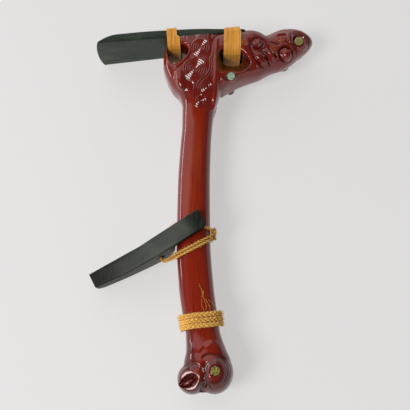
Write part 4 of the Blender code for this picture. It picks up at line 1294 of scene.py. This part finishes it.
def flowLine(points, side):
    path = smoothPath(points, 8)
    last = len(path) - 1
    sizes = [min(1.0, 0.3 + 6 * min(i, last - i) / last) for i in range(last + 1)]
    return [(p.x, p.y, side * drawing["outside"], size) for p, size in zip(path, sizes)]


def carvedRibs(surface):
    lines = []
    for side in (1, -1):
        lines += [spiralLine(*spiral, side) for spiral in ribs["spirals"]]
        lines += [flowLine(points, side) for points in ribs["flows"]]
    obj = guideLines("carvedRibs", lines)
    sizes = {"ribWidth": ribs["width"], "ribHeight": ribs["height"], "ribDepth": ribs["depth"]}
    runTree(obj, ribTree(), surface=surface, material=wood, **sizes)
    # The ribs take the middle tone of the painted light, that of the handle's sides
    setValues(obj.data, "warm", [0.42] * len(obj.data.vertices))
    shadeSmooth(obj, 24)
    return obj


# Beaded patches of the heel figure

beads = {
    "size": 0.80,
    "pitch": 1.75,
    "rowPitch": 1.85,
    "patches": (
        # centre x, centre y, radius
        (76.9, 174.9, 5.2),
        (84.9, 186.0, 5.2),
        (44.4, 180.6, 3.6),
    ),
}


def beadTree():
    tree, given = newTree("beadRows", (
        ("Surface", "Object", None), ("Bead Size", "Float", 0.6), ("Pitch", "Float", 1.3), ("Seed", "Int", 4),
        ("Material", "Material", None),
    ))
    out = given.outputs
    line = addNode(tree, "GeometryNodeMeshToCurve", [("Mesh", out["Geometry"])]).outputs[0]
    feeds = [("Curve", line), ("Length", out["Pitch"])]
    dots = addNode(tree, "GeometryNodeCurveToPoints", feeds, mode="LENGTH").outputs[0]
    bead = addNode(tree, "GeometryNodeMeshIcoSphere", [("Radius", out["Bead Size"]), ("Subdivisions", 2)])
    # The sockets of the float range are the third and fourth of this node
    feeds = [(2, 0.82), (3, 1.12), ("Seed", out["Seed"])]
    size = addNode(tree, "FunctionNodeRandomValue", feeds, data_type="FLOAT").outputs[1]
    feeds = [("Points", laidOn(tree, dots, out["Surface"])), ("Instance", bead.outputs[0]), ("Scale", size)]
    placed = addNode(tree, "GeometryNodeInstanceOnPoints", feeds).outputs[0]
    finishTree(tree, placed, out["Material"])
    return tree


def beadedPatches(surface):
    lines = []
    for side in (1, -1):
        for cx, cy, radius in beads["patches"]:
            turns = radius / beads["rowPitch"]
            spots = spiralSpots(cx, cy, (0.5, radius), turns, turns * 24)
            lines.append([(x, y, side * drawing["outside"]) for x, y, _ in spots])
    obj = guideLines("beadedPatches", lines)
    sizes = {"beadSize": beads["size"], "pitch": beads["pitch"], "seed": 4}
    runTree(obj, beadTree(), surface=surface, material=wood, **sizes)
    # Painted highlight: the beads get a paler, golden tone that stands in for the glints on their tops
    setValues(obj.data, "warm", [1.22] * len(obj.data.vertices))
    return obj


# Shell discs of the eyes: the start of their nodes' names, x, y, radius, finish and slot

shellDiscs = (
    ("heel_eye", *eyes["heel"], 5.1, oliveShell, "olive_shell"),
    ("foot_eye", *eyes["foot"], 4.3, mintShell, "mint_shell"),
    ("butt_eye", *eyes["butt"], 4.5, oliveShell, "olive_shell"),
)


def nodeLevels(name):
    # Lowest and highest level of a CAD node, on the drawing
    levels = [v.co.z * 1000 + drawing["middle"][2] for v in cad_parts[name].data.vertices]
    return min(levels), max(levels)


def shellDisc(name, x, y, radius, mat, low, high, side):
    base, top = (low, high) if side > 0 else (-high, -low)
    rows = [(0.0, 1.0), (0.25, 1.0), (0.5, 1.0), (0.78, 0.995), (0.9, 0.96), (0.96, 0.9)]
    for k in range(1, 7):
        dome = math.pi / 2 * k / 6
        rows.append((0.96 + 0.04 * math.sin(dome), 0.9 * math.cos(dome * 6 / 6.5)))
    rings = []
    for height, share in rows:
        ring = roundedOutline(radius * share, radius * share, 2.0, 48)
        rings.append([(x + a, y + b, side * (base + height * (top - base))) for a, b in ring])
    obj = meshObject(name, [closedSkin(rings)], mat)
    shadeSmooth(obj, 50)
    return obj


# Tied stone: a wedge whose tongue lies over the shaft

tiedStone = {
    "length": 130.0,
    "width": 19.0,
    "endWidth": 15.5,
    "start": (-117.6, -80.4, 0.0),
    "turn": 28.0,
    "bow": 2.8,
    "bevel": 1.0,
    "hole": 8.6,
    "holeAlong": 75.3,
    "holeHeight": -9.0,
    "floor": -25.6,
    # Height of the back by share of the length
    "back": (
        (0, -5.6), (0.12, -3.6), (0.24, -0.6), (0.44, 8.6), (0.62, 17.8), (0.79, 24.2), (0.93, 27.6),
        (1, 26.2),
    ),
    # Half the grip, the cord that passes under the tongue, and its clearance
    "tongue": drawing["gripDepth"] / 2 + 2.7 + 4 * drawing["gap"],
}


def stoneHalf(share):
    end = tiedStone["endWidth"]
    return (end + (tiedStone["width"] - end) * min(max(share, 0.0) / 0.55, 1.0)) / 2


def stonePoint(along, across, height):
    share = along / tiedStone["length"]
    side = across * stoneHalf(share) - tiedStone["bow"] * 4 * share * (1 - share)
    turn = Matrix.Rotation(math.radians(tiedStone["turn"]), 3, "Z")
    return Vector(tiedStone["start"]) + turn @ Vector((along, side, height))


def stepAlong():
    turn = math.radians(tiedStone["turn"])
    crossing = stonePoint(0.72 * tiedStone["length"], -1, 0)
    middle, half, _, _ = shaftSection(crossing.y)
    reach = (middle - half - tiedStone["start"][0]) / math.cos(turn)
    return reach - 0.5 * tiedStone["width"] * math.tan(turn) - 6 * drawing["gap"]


def stoneProfile():
    whole, floor, tongue, step = tiedStone["length"], tiedStone["floor"], tiedStone["tongue"], stepAlong()
    top = tiedStone["back"]
    outline = []
    for a, b in zip(top, top[1:]):
        for i in range(6):
            share = a[0] + (b[0] - a[0]) * i / 6
            outline.append((share * whole, valuesAt(top, share)[0]))
    outline.append((whole, top[-1][1]))
    outline += [(whole * 0.995, tongue + 3), (whole * 0.975, tongue)]
    outline += [(whole * 0.975 + (step + 9 - whole * 0.975) * i / 6, tongue) for i in range(1, 7)]
    outline += [(step + 3, tongue - 3), (step, tongue - 10), (step - 1, -6)]
    outline += [(step - 6, floor + 4), (step - 12, floor)]
    outline += [(step - 12 + (6 - step + 12) * i / 8, floor) for i in range(1, 9)]
    outline += [(1.0, floor + 4), (0.1, floor + 9), (0, -12)]
    return outline


def darkWedge():
    profile = stoneProfile()
    rings = []
    rows = [(-1.0, 1.0), (-0.985, 0.55), (-0.955, 0.24), (-0.92, 0.06), (-0.88, 0.0)]
    rows += [(v, 0.0) for v in (-0.6, -0.3, 0.0, 0.3, 0.6)]
    rows += [(-a, b) for a, b in reversed(rows[:5])]
    for across, share in rows:
        inset = tiedStone["bevel"] * share
        ring = []
        for k, (along, height) in enumerate(profile):
            before, after = Vector(profile[k - 1]), Vector(profile[(k + 1) % len(profile)])
            edge = (after - before).normalized()
            inward = Vector((edge.y, -edge.x)) * inset
            ring.append(stonePoint(along + inward.x, across, height + inward.y))
        rings.append(ring)
    obj = meshObject("darkWedge", [closedSkin(rings)], wedgeStone)
    cutOut(obj, "bore", [boreBar()])
    shadeSmooth(obj, 38)
    return obj


def boreBar():
    start = stonePoint(tiedStone["holeAlong"], -1, tiedStone["holeHeight"])
    end = stonePoint(tiedStone["holeAlong"], 1, tiedStone["holeHeight"])
    along = end - start
    turn = along.normalized().to_track_quat("Z", "Y").to_matrix().to_4x4()
    place = Matrix.Translation((start + end) / 2) @ turn
    return cylinder(tiedStone["hole"] / 2, along.length + 20, 40, place)


# Cords: each is plaited from strands, and each strand is laid up from yarns

cords = {
    "tie": {"diameter": 3.5, "strands": 2, "pitch": 7.5, "flatness": 0.0},
    "wrap": {"diameter": 5.2, "strands": 3, "pitch": 13.0, "flatness": 1.0},
    # Places along Y of the strands over the shaft, of the one behind it and of the one at the stone's tongue,
    # and the end of the first at the knot, as (x, y)
    "tieAcross": -42.0,
    "tieEnd": (8.5, -32.5),
    "tieBehind": -34.0,
    "tieTongue": -30.0,
    # Place along Y of the wound cord's first turn on top of the shaft, its turns, and how far each slants
    "wrapAt": -117.0,
    "wrapTurns": 2 + 2 / 3,
    "wrapSlant": 3.6,
}


def roundShaft(y, turn, away):
    middle, half, depth, squareness = shaftSection(y)
    a, b = roundedSpot(math.radians(turn), half + away, depth + away, squareness)
    return Vector((middle + a, y, b))


def helixShift(tree, number, amount, pitch, radius, flatness):
    # The way from the middle of a cord to one of the strands that wind round it
    turn = total(tree, calc(tree, "DIVIDE", lengthAlong(tree), pitch), calc(tree, "DIVIDE", number, amount))
    angle = product(tree, turn, 2 * math.pi)
    normal = field(tree, "Normal")
    across = vectorCalc(tree, "CROSS_PRODUCT", field(tree, "Tangent"), normal)
    rise, sideways = calc(tree, "COSINE", angle), calc(tree, "SINE", angle)
    # A plait crosses over twice for each turn and lies wider than a twist
    crossing = product(tree, calc(tree, "SINE", product(tree, angle, 2.0)), 0.55)
    rise = total(tree, rise, product(tree, minus(tree, crossing, rise), flatness))
    sideways = product(tree, sideways, total(tree, product(tree, flatness, 0.3), 1.0))
    first = vectorCalc(tree, "SCALE", normal, product(tree, rise, radius))
    return vectorCalc(tree, "ADD", first, vectorCalc(tree, "SCALE", across, product(tree, sideways, radius)))


def fuzzOn(tree, tube, outward, density, length, seed):
    # Loose fibres that stand off the outer side of the cord
    lean = vectorCalc(tree, "DOT_PRODUCT", field(tree, "Normal"), vectorCalc(tree, "NORMALIZE", outward))
    outer = addNode(
        tree, "FunctionNodeCompare", [(0, lean), (1, 0.25)], data_type="FLOAT", operation="GREATER_THAN"
    ).outputs[0]
    roots = addNode(tree, "GeometryNodeDistributePointsOnFaces", [
        ("Mesh", tube), ("Selection", outer), ("Density", density), ("Seed", seed),
    ])
    feeds = [(0, (-1.3, -1.3, -1.3)), (1, (1.3, 1.3, 1.3)), ("Seed", seed)]
    tilt = addNode(tree, "FunctionNodeRandomValue", feeds, data_type="FLOAT_VECTOR").outputs[0]
    feeds = [("Vector", vectorCalc(tree, "ADD", roots.outputs["Normal"], tilt))]
    growth = addNode(tree, "FunctionNodeAlignRotationToVector", feeds, axis="Z").outputs[0]
    feeds = [("Vertices", 3), ("Radius Top", 0.02), ("Radius Bottom", 0.07), ("Depth", length)]
    fibre = addNode(tree, "GeometryNodeMeshCone", feeds).outputs[0]
    feeds = [("Points", roots.outputs[0]), ("Instance", fibre), ("Rotation", growth)]
    return addNode(tree, "GeometryNodeInstanceOnPoints", feeds).outputs[0]


def cordTree():
    tree, given = newTree("laidCord", (
        ("Strands", "Int", 3), ("Yarns", "Int", 3), ("Diameter", "Float", 4.0), ("Pitch", "Float", 10.0),
        ("Flatness", "Float", 0.0), ("Step", "Float", 0.55), ("Wander", "Float", 0.2),
        ("Fuzz", "Float", 0.22), ("Fuzz Length", "Float", 3.0), ("Seed", "Int", 5),
        ("Axis", "Vector", (-6.0, 0.0, 0.0)), ("Material", "Material", None),
    ))
    out = given.outputs
    spot = field(tree, "Position")
    outward = vectorCalc(tree, "MULTIPLY", vectorCalc(tree, "SUBTRACT", spot, out["Axis"]), (1.0, 0.0, 1.0))
    feeds = [("Curve", evenCurve(tree, out["Geometry"], out["Step"])), ("Normal", outward)]
    geometry = addNode(tree, "GeometryNodeSetCurveNormal", feeds, mode="FREE").outputs[0]
    # First the strands wind round the cord, then the yarns round each strand, the other way
    windings = (("Strands", 0.24, 1.0, out["Flatness"]), ("Yarns", 0.115, -0.42, 0.0))
    for amount, reach, pitch, flatness in windings:
        geometry, number = copiesOf(tree, geometry, out[amount])
        pitch, radius = product(tree, out["Pitch"], pitch), product(tree, out["Diameter"], reach)
        geometry = shifted(tree, geometry, helixShift(tree, number, out[amount], pitch, radius, flatness))
        geometry = keepValue(tree, geometry, amount, total(tree, number, 0.0))
    geometry = shifted(tree, geometry, stray(tree, vectorCalc(tree, "SCALE", spot, 0.35), out["Wander"]))
    label = total(tree, product(tree, keptValue(tree, "Strands"), 3.0), keptValue(tree, "Yarns"))
    named = keepValue(tree, geometry, "thread", vectorOf(tree, label, lengthAlong(tree)), "FLOAT_VECTOR")
    tube = roundTube(tree, named, product(tree, out["Diameter"], 0.135), True)
    joined = addNode(tree, "GeometryNodeJoinGeometry")
    tree.links.new(tube, joined.inputs[0])
    fuzz = fuzzOn(tree, tube, outward, out["Fuzz"], out["Fuzz Length"], out["Seed"])
    tree.links.new(fuzz, joined.inputs[0])
    finishTree(tree, joined.outputs[0], out["Material"])
    return tree


def wrapRoute():
    cord = cords["wrap"]
    away = cord["diameter"] / 2 + 2 * drawing["gap"]
    pitch = cord["diameter"] - 0.1
    points = []
    for i in range(round(48 * cords["wrapTurns"]) + 1):
        turns = i / 48 - 0.17
        angle = 180 - 360 * turns
        slant = cords["wrapSlant"] * math.cos(math.radians(angle))
        y = cords["wrapAt"] - pitch * (turns - 0.25) + slant
        points.append(roundShaft(y, angle, away))
    return points


def tieRoutes():
    # Two strands over the shaft, one behind it, and one under the stone's tongue
    cord = cords["tie"]
    away = cord["diameter"] / 2 + 2 * drawing["gap"]
    pitch = cord["diameter"] + drawing["gap"]
    along, height = tiedStone["holeAlong"], tiedStone["holeHeight"]
    face = 1 + (away + drawing["gap"]) / stoneHalf(0.6)
    near, far = stonePoint(along, -face, height), stonePoint(along, face, height)
    level = near.y + 0.2 * near.z
    endX, endY = cords["tieEnd"]
    routes = []
    for lower in (0, pitch):
        step = Vector((0, -0.3 * lower, 1.6 - 0.5 * lower))
        route = [stonePoint(along, -0.2, height) + step, near + step]
        for turn in range(165, -20, -15):
            # Straight as the camera sees it: height over the floor counts for a fifth of its length along Y
            spot = roundShaft(cords["tieAcross"], turn, away)
            y = level + (endY - level) * (spot.x - near.x) / (endX - near.x)
            route.append(Vector((spot.x, y - 0.2 * spot.z - lower, spot.z)))
        routes.append(route)
    behind, tongue = [], []
    for turn in range(-10, -176, -15):
        behind.append(roundShaft(cords["tieBehind"] + 0.128 * (turn + 10), turn, away))
    behind += [stonePoint(along + 6, -face - 0.25, height - 3), near - Vector((0, 0, 2.2))]
    behind.append(stonePoint(along, -0.2, height - 1.8))
    for turn in range(12, 170, 15):
        tongue.append(roundShaft(cords["tieTongue"] + 0.050 * (turn - 12), turn, away))
    tongue += [stonePoint(along + 18, face, 0.0), stonePoint(along + 7, face, height + 3), far]
    tongue.append(stonePoint(along, 0.2, height))
    return [smoothPath(route, 6) for route in (*routes, behind, tongue)]


def knotRoute():
    # The knot on the shaft's right side, wound round the two strands
    middle = roundShaft(cords["tieEnd"][1], 2, 3.4)
    route = []
    for i in range(49):
        turn = 2 * math.pi * i / 48
        reach = 2.6 + 0.6 * math.cos(3 * turn)
        y, z = reach * 1.9 * math.cos(2 * turn), reach * 1.5 * math.sin(2 * turn)
        route.append(middle + Vector((1.6 * math.sin(3 * turn), y, z)))
    return route


def looseFibres(tree):
    # Long stray fibres on the shaft above the wound cord, as places along Y and turns round the shaft
    routes = (
        ((-86, 84), (-95, 79), (-104, 84), (-114, 81)), ((-101, 71), (-107, 63), (-113, 60)),
        ((-102, 62), (-104, 48), (-110, 26)), ((-93, 74), (-100, 78), (-106, 72), (-112, 76)),
    )
    lines = [smoothPath([roundShaft(y, turn, 0.35) for y, turn in spots], 6) for spots in routes]
    obj = guideLines("looseFibres", lines)
    return runTree(obj, tree, strands=1, yarns=1, diameter=1.1, fuzz=0.0, wander=1.6, material=cordGold)


def plaitedCord(name, routes, cord, tree):
    obj = guideLines(name, routes)
    return runTree(obj, tree, yarns=3, material=cordGold, **cord)


# Build the pieces

handle = carvedHandle()
print("handle carved:", len(handle.data.polygons), "faces")
ribbed = carvedRibs(handle)
dotted = beadedPatches(handle)

seatEnd = bladeTip + blade["length"] + 2 * drawing["gap"]
cutOut(handle, "seat", [block((-300, 0, -100), (seatEnd, 60, 100), bladePlace)])
floorLevel = drawing["middle"][2]
cutOut(handle, "flatSpot", [block((-40, -212, floorLevel - 40), (40, -132, floorLevel))])
for key in ("front", "rear"):
    cutOut(handle, "bed", [lashingBand(lashings[key], 0.0, lashings["thickness"] + 4)])
sockets, discPieces = [], []
for name, x, y, radius, mat, slotName in shellDiscs:
    for side, where in ((1, "upper"), (-1, "lower")):
        low, high = nodeLevels(f"{name}_{where}")
        bottom = low - drawing["gap"] if side > 0 else -high - drawing["gap"]
        sockets.append(disc(x, y, bottom, bottom + 20, radius + drawing["gap"], side))
        piece = shellDisc(name.replace("_eye", "Eye") + where.title(), x, y, radius, mat, low, high, side)
        discPieces.append((piece, slotName, f"{name}_{where}"))
cutOut(handle, "sockets", sockets)
thinOut(handle, handleForm["triangles"])
settle(handle, "lacquered_wood", "handle")
settle(ribbed, "lacquered_wood")
settle(dotted, "lacquered_wood")
for piece, slotName, node in discPieces:
    settle(piece, slotName, node)

settle(greenBlade(), "green_stone", "blade")
threads = threadTree()
settle(woundLashing("frontLashing", lashings["front"], threads, 3), "golden_thread", "front_lashing")
settle(woundLashing("rearLashing", lashings["rear"], threads, 8), "golden_thread", "rear_lashing")
settle(darkWedge(), "dark_stone", "tied_stone")

cordNodes = cordTree()
tieCord = plaitedCord("tieCord", tieRoutes() + [knotRoute()], cords["tie"], cordNodes)
settle(tieCord, "golden_cord", "tie_cord")
wrapCord = plaitedCord("wrapCord", [wrapRoute()], cords["wrap"], cordNodes)
settle(wrapCord, "golden_cord", "wrap_cord")
settle(looseFibres(cordNodes), "golden_cord")


# Floor, light and camera

studio = {
    "floor": (0.31, 0.306, 0.304),
    # The floor glows a little, like a light table, so that shadows stay pale
    "floorGlow": (0.985, 0.975, 0.97),
    "floorStrength": 0.50,
    # The room's brightness by the height of the direction looked in: 0 is level, 1 is straight up
    "room": ((0.0, 0.9), (0.14, 0.9), (0.32, 0.20), (0.60, 0.13), (0.97, 0.03), (1.0, 0.03)),
    # A pale wall behind the object: its direction, the cosines where it fades in, and its brightness
    "wall": ((-0.406, 0.761, 0.507), 0.73, 0.80, 0.95),
    "focal": 52.68,
    "cameraPlace": (-0.00035, -0.1721, 0.6444),
    "cameraTilt": 14.93,
    "lights": (
        # place, aim, size x, size y, power
        ((-2.10, 0.62, 0.30), (0, 0.03, 0), 1.20, 0.36, 8.5),
        ((-1.25, -0.68, 1.60), (0, 0.05, 0), 0.85, 0.85, 31.0),
    ),
}


def paleFloor():
    shape = bmesh.new()
    bmesh.ops.create_grid(shape, x_segments=2, y_segments=2, size=6.0)
    mat, _, _ = newMaterial("pale floor", {
        "Roughness": 0.9, "Base Color": (*studio["floor"], 1.0), "Specular IOR Level": 0.1,
        "Emission Color": (*studio["floorGlow"], 1.0), "Emission Strength": studio["floorStrength"],
    })
    floor = meshObject("floor", [shape], mat)


def roomLight():
    world = bpy.data.worlds.new("studio")
    world.use_nodes = True
    tree = world.node_tree
    direction = tree.nodes.new("ShaderNodeTexCoord").outputs["Generated"]
    stops = [(place, (value,) * 3) for place, value in studio["room"]]
    room = ramp(tree, partsOf(tree, direction)[2], *stops)
    toWall, fadeIn, full, strength = studio["wall"]
    wall = spread(tree, vectorCalc(tree, "DOT_PRODUCT", direction, toWall), 0.0, strength, fadeIn, full)
    level = vectorCalc(tree, "ADD", room, vectorOf(tree, wall, wall, wall))
    tree.links.new(level, tree.nodes["Background"].inputs["Color"])
    bpy.context.scene.world = world


def softboxes():
    for k, (place, aim, sizeX, sizeY, power) in enumerate(studio["lights"]):
        lamp = bpy.data.lights.new(f"softbox{k}", "AREA")
        lamp.shape = "RECTANGLE"
        lamp.size, lamp.size_y, lamp.energy = sizeX, sizeY, power
        holder = linked(lamp.name, lamp)
        holder.location = place
        holder.rotation_euler = (Vector(aim) - Vector(place)).to_track_quat("-Z", "Y").to_euler()


def photoCamera():
    lens = bpy.data.cameras.new("camera")
    lens.sensor_width = 36.0
    lens.sensor_fit = "HORIZONTAL"
    lens.lens = studio["focal"]
    camera = linked("camera", lens)
    camera.location = studio["cameraPlace"]
    camera.rotation_euler = (math.radians(studio["cameraTilt"]), 0, 0)
    bpy.context.scene.camera = camera
    bpy.context.scene.view_settings.view_transform = "Standard"


paleFloor()
roomLight()
softboxes()
photoCamera()
print("studio ready")
